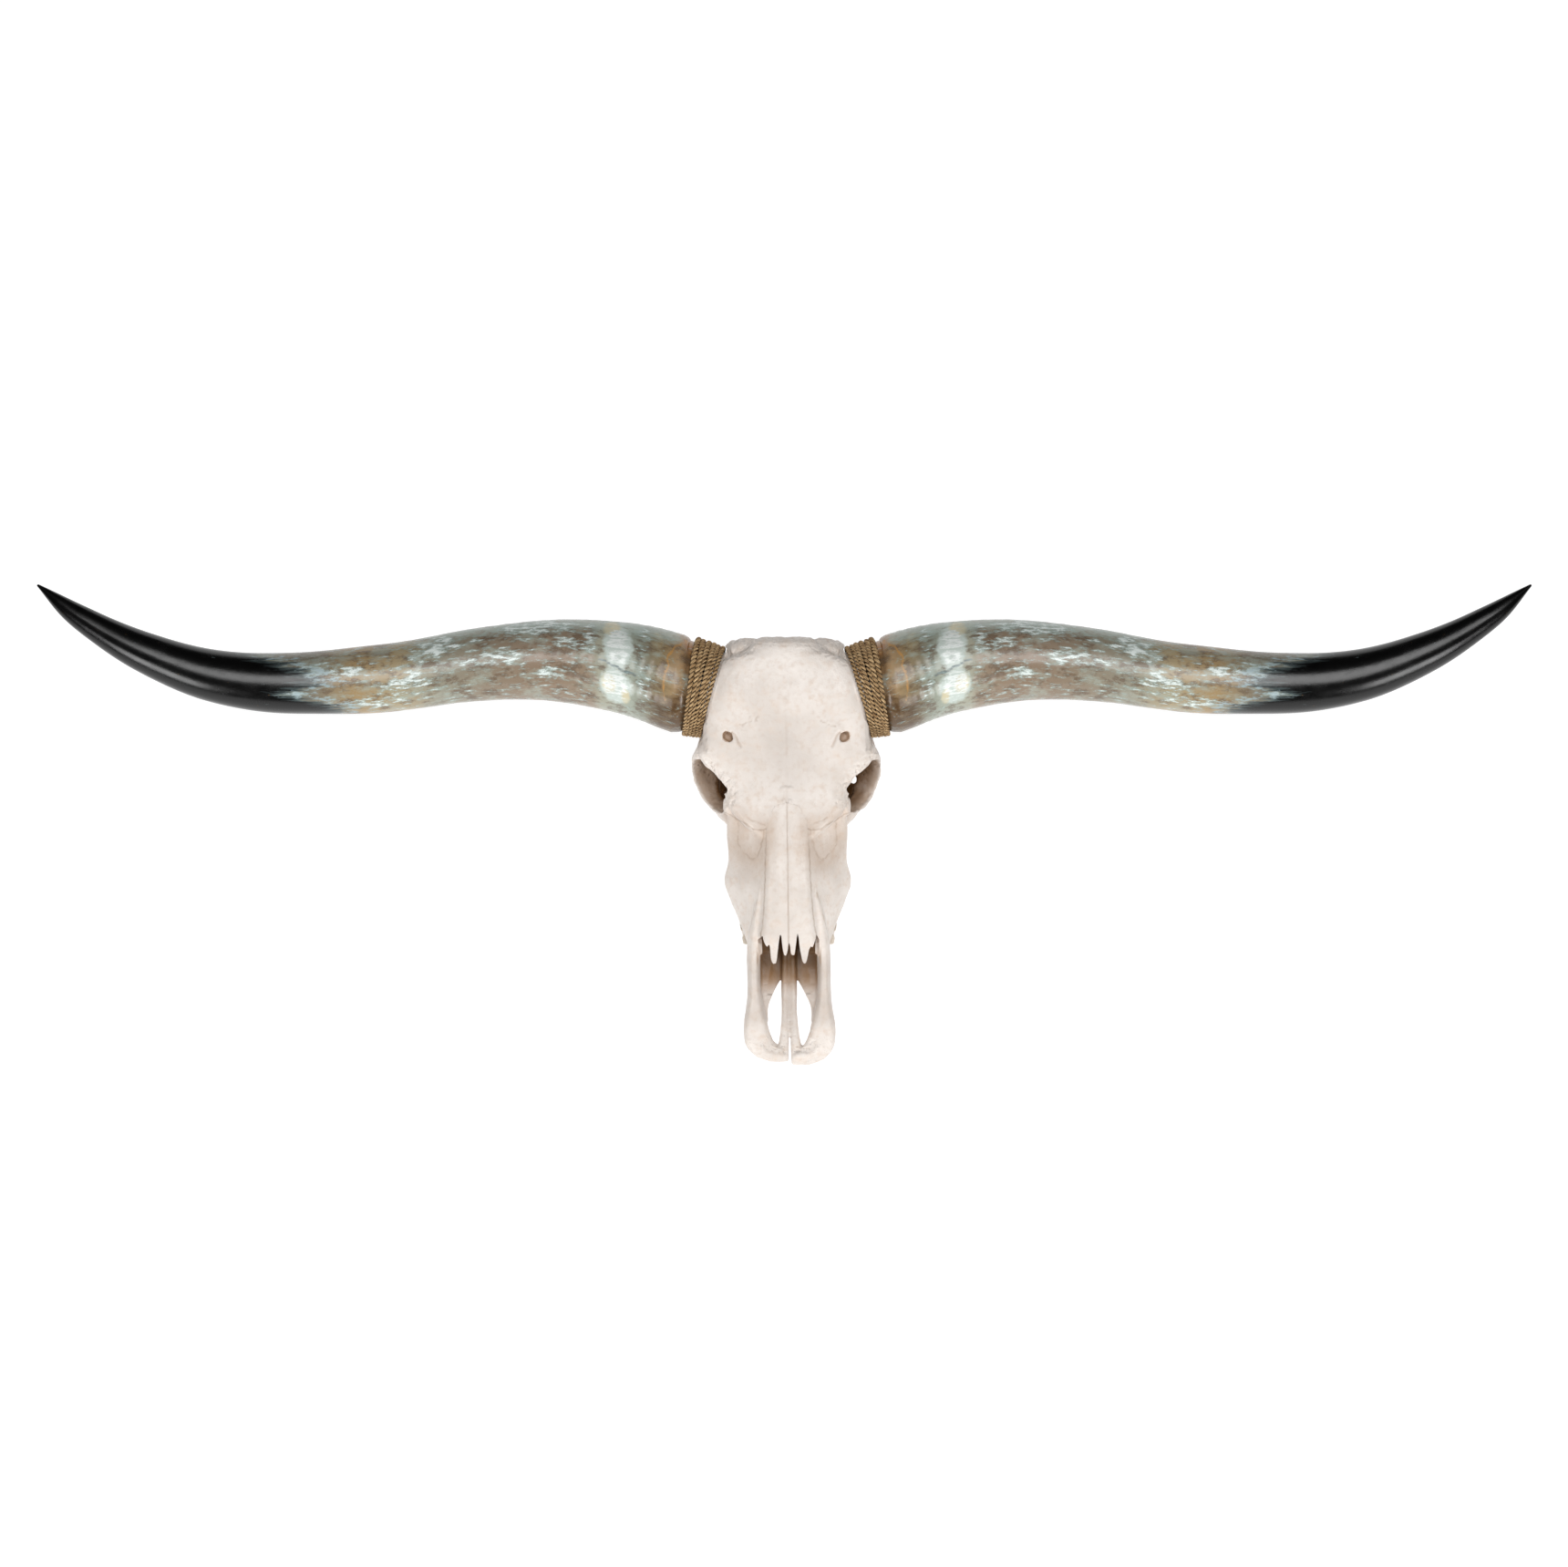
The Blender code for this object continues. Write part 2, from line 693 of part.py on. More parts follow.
def add_hollows(clay):
    """Everything that is cut out of the fused bone."""
    # Nasal cavity, under the nasal bones and out between the premaxillae
    add_oval_loft(
        clay,
        centred(
            (
                (0.238, 0.016, -0.022, -0.062),
                (0.262, 0.024, -0.013, -0.072),
                (0.300, 0.031, -0.010, -0.077),
                (0.345, 0.033, -0.010, -0.078),
                (0.372, 0.033, -0.011, -0.076),
                (0.430, 0.033, -0.008, -0.068),
            )
        ),
        power=3.4,
    )
    # Hind nostrils, between the pterygoid plates
    add_oval_loft(
        clay,
        centred(
            (
                (0.150, 0.015, -0.128, -0.170),
                (0.200, 0.019, -0.100, -0.170),
                (0.232, 0.021, -0.082, -0.160),
                (0.252, 0.018, -0.060, -0.104),
            )
        ),
        power=2.6,
    )
    # Notch between the two halves of the front plate
    notch = ((-0.0004, 0.456), (0.0004, 0.456), (0.0024, 0.515), (-0.0024, 0.515))
    add_prism(clay, notch, -0.1, 0)
    # Great foramen, where the spine entered
    add_tube(
        clay,
        ((0, -0.010, -0.136), (0, 0.030, -0.132), (0, 0.080, -0.112)),
        ((0.019, 0.016), (0.018, 0.016), (0.022, 0.020)),
    )
    for side in (-1, 1):
        add_rings(clay, cup_rings(side, ORBIT_INSIDE))
        # Temporal hollow, behind the ring and under the forehead's edge
        add_ellipsoid(clay, (side * 0.098, 0.120, -0.074), (0.038, 0.030, 0.022), (0, 0, side * 10))
        # Way down from the socket, inside the cheek bone
        add_ellipsoid(clay, (side * 0.056, 0.176, -0.085), (0.026, 0.036, 0.018))


def drill_small_holes(bone):
    """The holes for nerves and the ear, cut last so that they stay round."""
    for side in (-1, 1):
        paths = (
            # Supraorbital hole in the forehead
            ((0.0690, 0.1193, 0.020), (0.0690, 0.1200, -0.004), (0.0680, 0.1212, -0.014)),
            # Infraorbital hole, above the first cheek tooth
            ((0.0700, 0.3560, -0.078), (0.0540, 0.3450, -0.079), (0.0420, 0.3300, -0.080)),
            # Ear passage
            ((0.0920, 0.0745, -0.117), (0.0740, 0.0795, -0.120), (0.0600, 0.0830, -0.122)),
        )
        for path in paths:
            clay = bmesh.new()
            line = [(side * x, s, z) for x, s, z in path]
            add_tube(clay, line, [(HOLE_RADIUS, HOLE_RADIUS)] * 3, sides=10, steps=1)
            boolean(bone, finish_clay(clay, "hole"), "DIFFERENCE")


def add_premaxilla(clay, side):
    """One half of the front of the upper jaw: a bar up to the nasal bone, a rounded front
    plate without teeth, and a bar back along the middle of the palate."""
    bar = (
        (0.285, 0.0270, 0.0310, -0.009, -0.016),
        (0.320, 0.0290, 0.0400, -0.010, -0.030),
        (0.345, 0.0310, 0.0460, -0.013, -0.046),
        (0.362, 0.0320, 0.0490, -0.015, -0.060),
        (0.380, 0.0330, 0.0500, -0.018, -0.078),
        (0.400, 0.0335, 0.0500, -0.022, -0.079),
        (0.425, 0.0330, 0.0500, -0.027, -0.072),
        (0.446, 0.0300, 0.0520, -0.031, -0.063),
        (0.462, 0.0265, 0.0545, -0.034, -0.058),
        (0.478, 0.0220, 0.0550, -0.037, -0.055),
        (0.490, 0.0150, 0.0530, -0.039, -0.054),
        (0.500, -0.0020, 0.0470, -0.041, -0.053),
        (0.508, -0.0020, 0.0370, -0.043, -0.051),
        (0.5125, 0.0030, 0.0240, -0.045, -0.048),
    )
    add_oval_loft(clay, sided(bar, side), power=2.4, rings=64)
    middle_bar = (
        (0.385, -0.002, 0.0090, -0.071, -0.080),
        (0.425, -0.002, 0.0096, -0.062, -0.071),
        (0.455, -0.002, 0.0096, -0.053, -0.062),
        (0.480, -0.002, 0.0120, -0.045, -0.055),
        (0.500, -0.002, 0.0160, -0.042, -0.052),
    )
    add_oval_loft(clay, sided(middle_bar, side), power=3.0)


def add_palate(clay, side):
    """The shelf of the palate that reaches forward beside the two long front openings."""
    shelf = (
        (0.360, -0.002, 0.040, -0.078, -0.092),
        (0.385, -0.002, 0.040, -0.073, -0.086),
        (0.402, 0.005, 0.042, -0.069, -0.080),
        (0.416, 0.013, 0.044, -0.066, -0.076),
        (0.430, 0.020, 0.044, -0.062, -0.071),
        (0.442, 0.025, 0.044, -0.058, -0.066),
        (0.462, 0.026, 0.044, -0.050, -0.057),
    )
    add_oval_loft(clay, sided(shelf, side), power=4.0)


def add_nose_front(clay):
    """What is cut from the front of the nasal bones, to leave two pairs of points."""
    edge = (
        (0.0000, 0.3640),
        (0.0035, 0.3785),
        (0.0065, 0.3785),
        (0.0100, 0.3530),
        (0.0150, 0.3840),
        (0.0190, 0.3890),
        (0.0220, 0.3840),
        (0.0245, 0.3715),
        (0.0285, 0.3690),
        (0.0325, 0.3610),
        (0.0325, 0.4600),
    )
    outline = list(edge) + [(-x, s) for x, s in edge[:0:-1]]
    add_prism(clay, outline, -0.026, 0.020)


def make_crowns(side):
    """The crowns of one row of cheek teeth, long enough to be cut off level underneath."""
    clay = bmesh.new()
    front = TEETH_START
    for _, length, width in TEETH:
        middle = front - length / 2
        x = float(smooth_table(TEETH_MIDDLE, middle)[0, 0])
        half_s, half_x = length / 2 - CROWN_GAP / 2, width / 2
        floor = rest_height(middle)
        add_rings(
            clay,
            [
                [
                    point(side * (x + half_x * a * share), middle + half_s * b * share, z)
                    for a, b in CROWN_OUTLINE
                ]
                for z, share in ((floor - 0.010, 1.0), (floor + 0.008, 1.0), (floor + CROWN_ROOT, 0.86))
            ],
        )
        front -= length
    return finish_clay(clay, "crowns")


# ---------------------------------------------------------------- sutures


def ribbon(path, low, high, across):
    """A thin sheet through a path. Across is "z" for a path of (x, s) and "x" for (s, z)."""
    clay = bmesh.new()
    path = np.array(path, float)
    run = np.gradient(path, axis=0)
    run /= np.linalg.norm(run, axis=1)[:, None]
    shift = np.column_stack((-run[:, 1], run[:, 0])) * SUTURE / 2
    rings = []
    for middle, off in zip(path, shift):
        near, far = middle - off, middle + off
        if across == "z":
            rings.append([point(*near, low), point(*far, low), point(*far, high), point(*near, high)])
        else:
            rings.append([point(low, *near), point(low, *far), point(high, *far), point(high, *near)])
    add_rings(clay, rings)
    return finish_clay(clay, "suture")


def face_suture():
    """Between the skull's back half and the jaws, from under the nose out to the cheeks."""
    path = [(-x, s) for x, s in FACE_SUTURE[:0:-1]] + list(FACE_SUTURE)
    return ribbon(path, -0.20, 0.03, "z")


def midline_suture(start):
    """Down the middle of the face, from a given s forward."""
    return ribbon(((0.0, start), (0.0, 0.560)), -0.20, 0.05, "z")


def nasal_block(grown):
    """A block round the two nasal bones, from the outline of their sutures in plan."""
    half = (
        (0.0000, 0.1980),
        (0.0140, 0.2020),
        (0.0235, 0.2200),
        (0.0255, 0.2500),
        (0.0268, 0.2840),
        (0.0285, 0.3200),
        (0.0310, 0.3450),
        (0.0340, 0.3640),
        (0.0340, 0.4200),
    )
    half = [(x + grown * (i > 0), s - grown * (i < 3)) for i, (x, s) in enumerate(half)]
    clay = bmesh.new()
    add_prism(clay, half + [(-x, s) for x, s in half[:0:-1]], -0.012 - grown, 0.040)
    return finish_clay(clay, "nasal_block")


def copy_of(obj):
    """A copy of an object with a mesh of its own."""
    twin = obj.copy()
    twin.data = obj.data.copy()
    bpy.context.scene.collection.objects.link(twin)
    return twin


def loose_parts(obj, least=1e-7):
    """The shells of an object as objects of their own, without crumbs."""
    bm = bmesh.new()
    bm.from_mesh(obj.data)
    label, count = {}, 0
    for face in bm.faces:
        if face in label:
            continue
        queue = [face]
        label[face] = count
        while queue:
            for edge in queue.pop().edges:
                for other in edge.link_faces:
                    if other not in label:
                        label[other] = count
                        queue.append(other)
        count += 1
    labels = [label[face] for face in bm.faces]
    bm.free()
    parts = []
    for number in range(count):
        bm = bmesh.new()
        bm.from_mesh(obj.data)
        bm.faces.ensure_lookup_table()
        spare = [face for face, own in zip(bm.faces, labels) if own != number]
        bmesh.ops.delete(bm, geom=spare, context="FACES")
        if bm.calc_volume() > least:
            mesh = bpy.data.meshes.new("part")
            bm.to_mesh(mesh)
            part = bpy.data.objects.new("part", mesh)
            bpy.context.scene.collection.objects.link(part)
            parts.append(part)
        bm.free()
    bpy.data.objects.remove(obj)
    return parts


def middle_of(obj):
    """The middle of an object's box as x, s, z of the skull's frame."""
    spots = np.array([tuple(v.co) for v in obj.data.vertices])
    x, y, z = (spots.min(axis=0) + spots.max(axis=0)) / 2
    return x, -y, z


def build_bone():
    """The whole bone as one fused and hollowed body, before it is parted."""
    clay = bmesh.new()
    add_forehead(clay)
    add_face(clay)
    add_nose_roof(clay)
    add_skull_base(clay)
    add_orbits(clay)
    add_horn_cores(clay)
    for side in (-1, 1):
        add_premaxilla(clay, side)
        add_palate(clay, side)
    bone = fuse(finish_clay(clay, "bone"), CLAY_VOXEL)
    clay = bmesh.new()
    add_hollows(clay)
    boolean(bone, fuse(finish_clay(clay, "hollows"), HOLLOW_VOXEL), "DIFFERENCE")
    keep_largest(fuse(bone, CLAY_VOXEL))
    smooth = bone.modifiers.new("smooth", "SMOOTH")
    smooth.factor = 0.5
    smooth.iterations = 3
    light = bone.modifiers.new("light", "DECIMATE")
    light.ratio = BONE_SHARE
    settle(bone)
    drill_small_holes(bone)
    clay = bmesh.new()
    add_nose_front(clay)
    boolean(bone, finish_clay(clay, "nose_front"), "DIFFERENCE")
    for side in (-1, 1):
        boolean(bone, horn_seat(side), "DIFFERENCE")
        boolean(bone, make_crowns(side), "UNION")
    clay = bmesh.new()
    below = rest_height(0.0), rest_height(0.6)
    floor = [(-0.05, rest_height(-0.05)), (0.60, below[1]), (0.60, -0.40), (-0.05, -0.40)]
    add_rings(clay, [[point(x, s, z) for s, z in floor] for x in (-0.2, 0.2)])
    boolean(bone, finish_clay(clay, "floor"), "DIFFERENCE")
    keep_largest(bone)
    return bone


def merge_flats(obj):
    """Joins faces that lie in one plane, and splits them again into as few triangles."""
    bm = bmesh.new()
    bm.from_mesh(obj.data)
    bmesh.ops.dissolve_limit(bm, angle_limit=FLAT, verts=bm.verts, edges=bm.edges)
    bmesh.ops.triangulate(bm, faces=bm.faces)
    bm.to_mesh(obj.data)
    bm.free()


def part_bone(bone):
    """The bone parted along its sutures, with every piece named."""
    nose = copy_of(bone)
    boolean(nose, nasal_block(0.0), "INTERSECT")
    boolean(nose, midline_suture(0.190), "DIFFERENCE")
    boolean(bone, nasal_block(SUTURE), "DIFFERENCE")
    boolean(bone, face_suture(), "DIFFERENCE")
    boolean(bone, midline_suture(0.2138), "DIFFERENCE")
    named = {}
    for part in loose_parts(nose):
        side = "left" if middle_of(part)[0] < 0 else "right"
        named.setdefault("nasal_bone_" + side, []).append(part)
    for part in loose_parts(bone):
        x = middle_of(part)[0]
        side = "left" if x < 0 else "right"
        if abs(x) < 0.003:
            named.setdefault("cranium", []).append(part)
        else:
            boolean(part, ribbon(JAW_SUTURE, -0.1, 0.1, "x"), "DIFFERENCE")
            for piece in loose_parts(part):
                name = "premaxilla_" if middle_of(piece)[1] > 0.36 else "upper_jaw_"
                named.setdefault(name + side, []).append(piece)
    for name, parts in named.items():
        parts.sort(key=lambda part: len(part.data.polygons))
        for number, part in enumerate(parts[::-1]):
            part.name = part.data.name = name if number == 0 else f"{name}_scrap_{number}"
            merge_flats(part)
    return named


def make_material(name, colour, roughness):
    """A plain surface of one colour."""
    material = bpy.data.materials.new(name)
    material.use_nodes = True
    shader = material.node_tree.nodes["Principled BSDF"]
    shader.inputs["Base Color"].default_value = (*colour, 1.0)
    shader.inputs["Roughness"].default_value = roughness
    return material


def coat():
    """Gives each object its material and smooth shading with sharp edges kept."""
    bone = make_material("bone", (0.80, 0.74, 0.68), 0.45)
    horn = make_material("horn", (0.30, 0.27, 0.21), 0.25)
    rope = make_material("rope", (0.24, 0.14, 0.06), 0.90)
    for obj in bpy.context.scene.objects:
        kind = horn if obj.name.startswith("horn") else rope if obj.name.startswith("rope") else bone
        obj.data.materials.clear()
        obj.data.materials.append(kind)
        obj.data.shade_smooth()
        obj.data.set_sharp_from_angle(angle=math.radians(40))


def rest():
    """Tips everything from the skull's frame into the pose in which the skull rests."""
    sway = Matrix.Identity(4)
    sway[0][1] = -SWAY
    tip = Matrix.Rotation(math.radians(REST_PITCH), 4, "X")
    for obj in bpy.context.scene.objects:
        obj.data.transform(Matrix.Translation((0, FRAME_BACK, POLL_HEIGHT)) @ tip @ sway)


def main():
    """Builds the bones, the horns and the rope, and lays them as they rest."""
    for obj in list(bpy.data.objects):
        bpy.data.objects.remove(obj)
    part_bone(build_bone())
    for side in (-1, 1):
        make_horn(side)
        make_rope_wrap(side)
    coat()
    rest()


if __name__ == "__main__":
    main()
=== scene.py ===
"""Looks of a longhorn steer's skull without its lower jaw, lying on its cheek teeth.

The skull is worked out in its own frame: x to the side, s from the poll to the nose, and z up from
the plane of the forehead. Shapes are computed as (x, -s, z), and the rest pose then tips them into
the row frame. Sizes are in metres, but in millimetres inside mm(), Clay.tube and Clay.ball.
"""

import logging
import math
from collections.abc import Mapping, Sequence
from dataclasses import dataclass
from enum import Enum
from functools import reduce
from itertools import product

import bpy
import numpy as np
from mathutils import Euler, Matrix, Vector


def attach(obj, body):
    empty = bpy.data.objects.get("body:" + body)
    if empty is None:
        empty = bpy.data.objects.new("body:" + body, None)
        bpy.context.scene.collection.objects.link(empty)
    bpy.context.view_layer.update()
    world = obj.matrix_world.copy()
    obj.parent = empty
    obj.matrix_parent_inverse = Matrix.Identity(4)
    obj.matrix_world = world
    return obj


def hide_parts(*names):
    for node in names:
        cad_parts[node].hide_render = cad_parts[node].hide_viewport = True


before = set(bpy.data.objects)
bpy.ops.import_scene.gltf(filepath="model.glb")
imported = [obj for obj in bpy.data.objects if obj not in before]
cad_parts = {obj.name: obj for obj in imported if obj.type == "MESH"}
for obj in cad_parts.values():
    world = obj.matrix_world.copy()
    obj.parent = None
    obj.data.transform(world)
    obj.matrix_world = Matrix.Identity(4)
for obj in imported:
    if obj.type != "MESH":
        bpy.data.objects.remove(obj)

logging.basicConfig(level=logging.INFO, format="%(message)s")
LOG = logging.getLogger("skull")

Rows = Sequence[Sequence[float]]


class Side(Enum):
    """A side of the skull as the photograph shows it, as the sign of its x."""

    LEFT = -1
    RIGHT = 1

    @property
    def word(self) -> str:
        """The side's name, as the nodes spell it."""
        return self.name.lower()

    def put(self, rows: Rows) -> Rows:
        """Rows that start with an x, put on this side."""
        return [(self.value * x, *rest) for x, *rest in rows]


class Cut(Enum):
    """What a Boolean keeps."""

    INSIDE = "INTERSECT"
    OUTSIDE = "DIFFERENCE"
    BOTH = "UNION"


# ------------------------------------------------------------------ numbers and curves


def mm(*rows: Sequence[float]) -> Rows:
    """Rows of sizes in millimetres, as metres."""
    return tuple(tuple(value / 1000 for value in row) for row in rows)


def curve_through(rows: Rows, at: np.ndarray) -> np.ndarray:
    """A cubic curve through a table's rows, whose slope at a row is that of its neighbours.

    Args:
        rows: the table; its first column is the place, and rises.
        at: the places to read.

    Returns:
        The other columns at each place.
    """
    table = np.array(rows, float)
    place, value = table[:, 0], table[:, 1:]
    slope = np.gradient(value, place, axis=0)
    at = np.asarray(at, float)
    i = np.clip(np.searchsorted(place, at) - 1, 0, len(place) - 2)
    span = (place[i + 1] - place[i])[:, None]
    u = (at - place[i])[:, None] / span
    return (
        value[i] * (2 * u**3 - 3 * u**2 + 1)
        + slope[i] * span * (u**3 - 2 * u**2 + u)
        + value[i + 1] * (3 * u**2 - 2 * u**3)
        + slope[i + 1] * span * (u**3 - u**2)
    )


def smooth(rows: Rows, steps: int) -> np.ndarray:
    """A cubic curve through evenly placed rows, with so many steps from each to the next."""
    place = np.arange(len(rows))
    fine = np.linspace(0, place[-1], place[-1] * steps + 1)
    return curve_through(np.column_stack((place, rows)), fine)


def read_columns(at: np.ndarray, place: np.ndarray, table: np.ndarray) -> np.ndarray:
    """Each column of a table at new places, in straight blends from row to row."""
    return np.stack([np.interp(at, place, column) for column in table.T], axis=-1)


def unit(vectors: np.ndarray) -> np.ndarray:
    """The vectors, each one long."""
    return vectors / np.maximum(np.linalg.norm(vectors, axis=-1, keepdims=True), 1e-12)


def square_to(ahead: np.ndarray, vectors: np.ndarray) -> np.ndarray:
    """The vectors without what runs along others that are one long, each then one long."""
    return unit(vectors - ahead * np.einsum("ij,ij->i", vectors, ahead)[:, None])


def left_of(path: np.ndarray) -> np.ndarray:
    """The way to the left of a path in a plane: its heading turned by a quarter."""
    run = unit(np.gradient(path, axis=0))
    return np.column_stack((-run[:, 1], run[:, 0]))


def lengths(path: np.ndarray) -> np.ndarray:
    """The length along a path from its start to each of its points."""
    return np.concatenate(([0.0], np.cumsum(np.linalg.norm(np.diff(path, axis=0), axis=1))))


def angles(sides: int) -> np.ndarray:
    """Even angles round a full turn."""
    return np.linspace(0, math.tau, sides, endpoint=False)


def squared(wave: np.ndarray, power: float) -> np.ndarray:
    """A wave with its sign kept, whose humps are the squarer the smaller the power is."""
    return np.sign(wave) * np.abs(wave) ** power


def step(low: float, high: float, value: np.ndarray) -> np.ndarray:
    """A smooth step: 0 at low and under, 1 at high and over, eased between."""
    u = np.clip((value - low) / (high - low), 0.0, 1.0)
    return u * u * (3 - 2 * u)


def fall(low: float, high: float, value: np.ndarray) -> np.ndarray:
    """A smooth step down: 1 at low and under, 0 at high and over."""
    return 1 - step(low, high, value)


def most(*levels: np.ndarray) -> np.ndarray:
    """The highest of several levels at each point."""
    return reduce(np.maximum, levels)


def bell(distance: np.ndarray, width: float) -> np.ndarray:
    """A bell: 1 at no distance, and exp(-1) at one width."""
    return np.exp(-((distance / width) ** 2))


def blend(lattice: np.ndarray, spot: np.ndarray, eased: bool) -> np.ndarray:
    """Reads a lattice, which repeats without end, between its corners.

    Args:
        lattice: its numbers, as an (a, b, c) array.
        spot: the places in steps of the lattice, as an (n, 3) array.
        eased: whether the blend from corner to corner is eased, or straight.

    Returns:
        One number for each place.
    """
    cell = np.floor(spot).astype(np.int64)
    u = spot - cell
    if eased:
        u = u * u * (3 - 2 * u)
    total = np.zeros(len(spot))
    for corner in product((0, 1), repeat=3):
        weight = np.where(corner, u, 1 - u).prod(axis=1)
        x, y, z = ((cell + corner) % lattice.shape).T
        total += weight * lattice[x, y, z]
    return total


def noise(points: np.ndarray, size: float | Sequence[float], seed: int) -> np.ndarray:
    """Smooth noise from -1 to 1: random numbers on a lattice, eased from corner to corner.

    Args:
        points: the places, as an (n, 3) array.
        size: the lattice's step in metres, one number or one for each axis.
        seed: picks the lattice's numbers.

    Returns:
        One number for each place.
    """
    lattice = np.random.default_rng(seed).uniform(-1.0, 1.0, (32, 32, 32))
    return blend(lattice, points / np.asarray(size, float), True)


def layered_noise(points: np.ndarray, size: float, seed: int, layers: int = 3) -> np.ndarray:
    """Noise with finer noise on it, each layer half the size and half the strength."""
    return sum(noise(points, size / 2**k, seed + k) / 2**k for k in range(layers))


def wavy(path: Rows, pace: float, swing: float, seed: int) -> np.ndarray:
    """A path resampled at an even pace and swung to either side by noise, as sutures are.

    Args:
        path: its points in a plane.
        pace: the step between the new points.
        swing: the most that a point moves.
        seed: picks the noise.

    Returns:
        The new points. The two ends stay.
    """
    path = np.array(path, float)
    length = lengths(path)
    fine = np.linspace(0.0, length[-1], max(int(length[-1] / pace), 2) + 1)
    points = read_columns(fine, length, path)
    place = np.column_stack((fine, fine * 0 + seed * 0.37, fine * 0))
    sway = 0.6 * noise(place, 0.0042, seed) + 0.4 * noise(place, 0.0016, seed + 1)
    ends = step(0.0, 0.004, fine) * step(0.0, 0.004, length[-1] - fine)
    return points + left_of(points) * (swing * sway * ends)[:, None]


def distance_to(points: np.ndarray, path: Rows) -> np.ndarray:
    """The distance in a plane from each point to the nearest of a path's straight stretches."""
    path = np.array(path, float)
    best = np.full(len(points), 1e9)
    for start, end in zip(path[:-1], path[1:]):
        run = end - start
        share = np.clip(((points - start) @ run) / max(run @ run, 1e-12), 0.0, 1.0)
        gap = np.linalg.norm(points - start - share[:, None] * run, axis=1)
        best = np.minimum(best, gap)
    return best


# ------------------------------------------------------------------ the skull's frame


@dataclass(frozen=True)
class RestPose:
    """How the skull's own frame lies in the row frame."""

    pitch: float = math.radians(15.5)  # fall of the forehead towards the nose
    poll_height: float = 0.205
    poll_back: float = 0.2152  # poll behind the middle of the footprint
    sway: float = 0.012  # lean to the right in x, for each step of s

    def matrix(self) -> Matrix:
        """From (x, -s, z) to the row frame: sheared by the sway, pitched about x, and moved."""
        shear = Matrix.Identity(4)
        shear[0][1] = -self.sway
        move = Matrix.Translation((0, self.poll_back, self.poll_height))
        return move @ Matrix.Rotation(self.pitch, 4, "X") @ shear

    def place(self, points: np.ndarray) -> np.ndarray:
        """Points of (x, -s, z) in the row frame."""
        matrix = np.array(self.matrix())
        return points @ matrix[:3, :3].T + matrix[:3, 3]

    def floor(self, s: np.ndarray | float) -> np.ndarray | float:
        """z of the surface that the skull rests on, in the skull's frame, at s."""
        return (s * math.sin(self.pitch) - self.poll_height) / math.cos(self.pitch)


REST = RestPose()


def spots(x: np.ndarray, s: np.ndarray, z: np.ndarray) -> np.ndarray:
    """Points of the skull's frame as (x, -s, z)."""
    x, s, z = np.broadcast_arrays(x, s, z)
    return np.stack((x, -s, z), axis=-1)


PIXEL = 0.00108  # metres for each pixel of the photograph, in the forehead's plane
POLL_PIXEL = (861.0, 697.0)  # where the poll's middle lies in the photograph


def seen(*pixels: tuple[float, float]) -> Rows:
    """Pixels of the photograph as x and s of the skull's frame, on the forehead's plane."""
    place = (np.array(pixels, float) - POLL_PIXEL) * PIXEL
    return tuple((x - REST.sway * s, s) for x, s in place)


# ------------------------------------------------------------------ meshes


def linked(name: str, data: bpy.types.ID) -> bpy.types.Object:
    """A new object with this mesh, light or camera, linked to the scene."""
    obj = bpy.data.objects.new(name, data)
    bpy.context.scene.collection.objects.link(obj)
    return obj


def new_object(name: str, points: np.ndarray, faces: np.ndarray) -> bpy.types.Object:
    """An object from arrays of points and of faces with one count of corners.

    Args:
        name: the object's and the mesh's name.
        points: an (n, 3) array.
        faces: an (m, 3) or (m, 4) array of the points' numbers.

    Returns:
        The object, linked to the scene.
    """
    count, corners = faces.shape
    mesh = bpy.data.meshes.new(name)
    mesh.vertices.add(len(points))
    mesh.vertices.foreach_set("co", np.ascontiguousarray(points, np.float32).ravel())
    mesh.loops.add(count * corners)
    mesh.loops.foreach_set("vertex_index", np.ascontiguousarray(faces, np.int32).ravel())
    mesh.polygons.add(count)
    mesh.polygons.foreach_set("loop_start", np.arange(0, count * corners, corners, dtype=np.int32))
    mesh.update(calc_edges=True)
    return linked(name, mesh)


def read_out(items: Sequence, key: str, width: int, kind: type) -> np.ndarray:
    """One property of all of a mesh's items, as a row for each item."""
    flat = np.empty(len(items) * width, kind)
    items.foreach_get(key, flat)
    return flat.reshape(-1, width)


def points_of(mesh: bpy.types.Mesh) -> np.ndarray:
    """The places of a mesh's points."""
    return read_out(mesh.vertices, "co", 3, np.float32).astype(float)


def normals_of(mesh: bpy.types.Mesh) -> np.ndarray:
    """The outward directions at a mesh's points."""
    return read_out(mesh.vertex_normals, "vector", 3, np.float32).astype(float)


def edges_of(mesh: bpy.types.Mesh) -> np.ndarray:
    """The two ends of each of a mesh's edges."""
    return read_out(mesh.edges, "vertices", 2, np.int32)


def triangles_of(mesh: bpy.types.Mesh) -> np.ndarray:
    """A mesh's faces split into triangles."""
    mesh.calc_loop_triangles()
    return read_out(mesh.loop_triangles, "vertices", 3, np.int32)


def set_points(mesh: bpy.types.Mesh, points: np.ndarray) -> None:
    """Moves a mesh's points."""
    mesh.vertices.foreach_set("co", np.ascontiguousarray(points, np.float32).ravel())
    mesh.update()


def set_attribute(mesh: bpy.types.Mesh, name: str, values: np.ndarray) -> None:
    """Gives a mesh's points a number or a vector each."""
    kind, key = ("FLOAT", "value") if values.ndim == 1 else ("FLOAT_VECTOR", "vector")
    attribute = mesh.attributes.new(name, kind, "POINT")
    attribute.data.foreach_set(key, np.ascontiguousarray(values, np.float32).ravel())


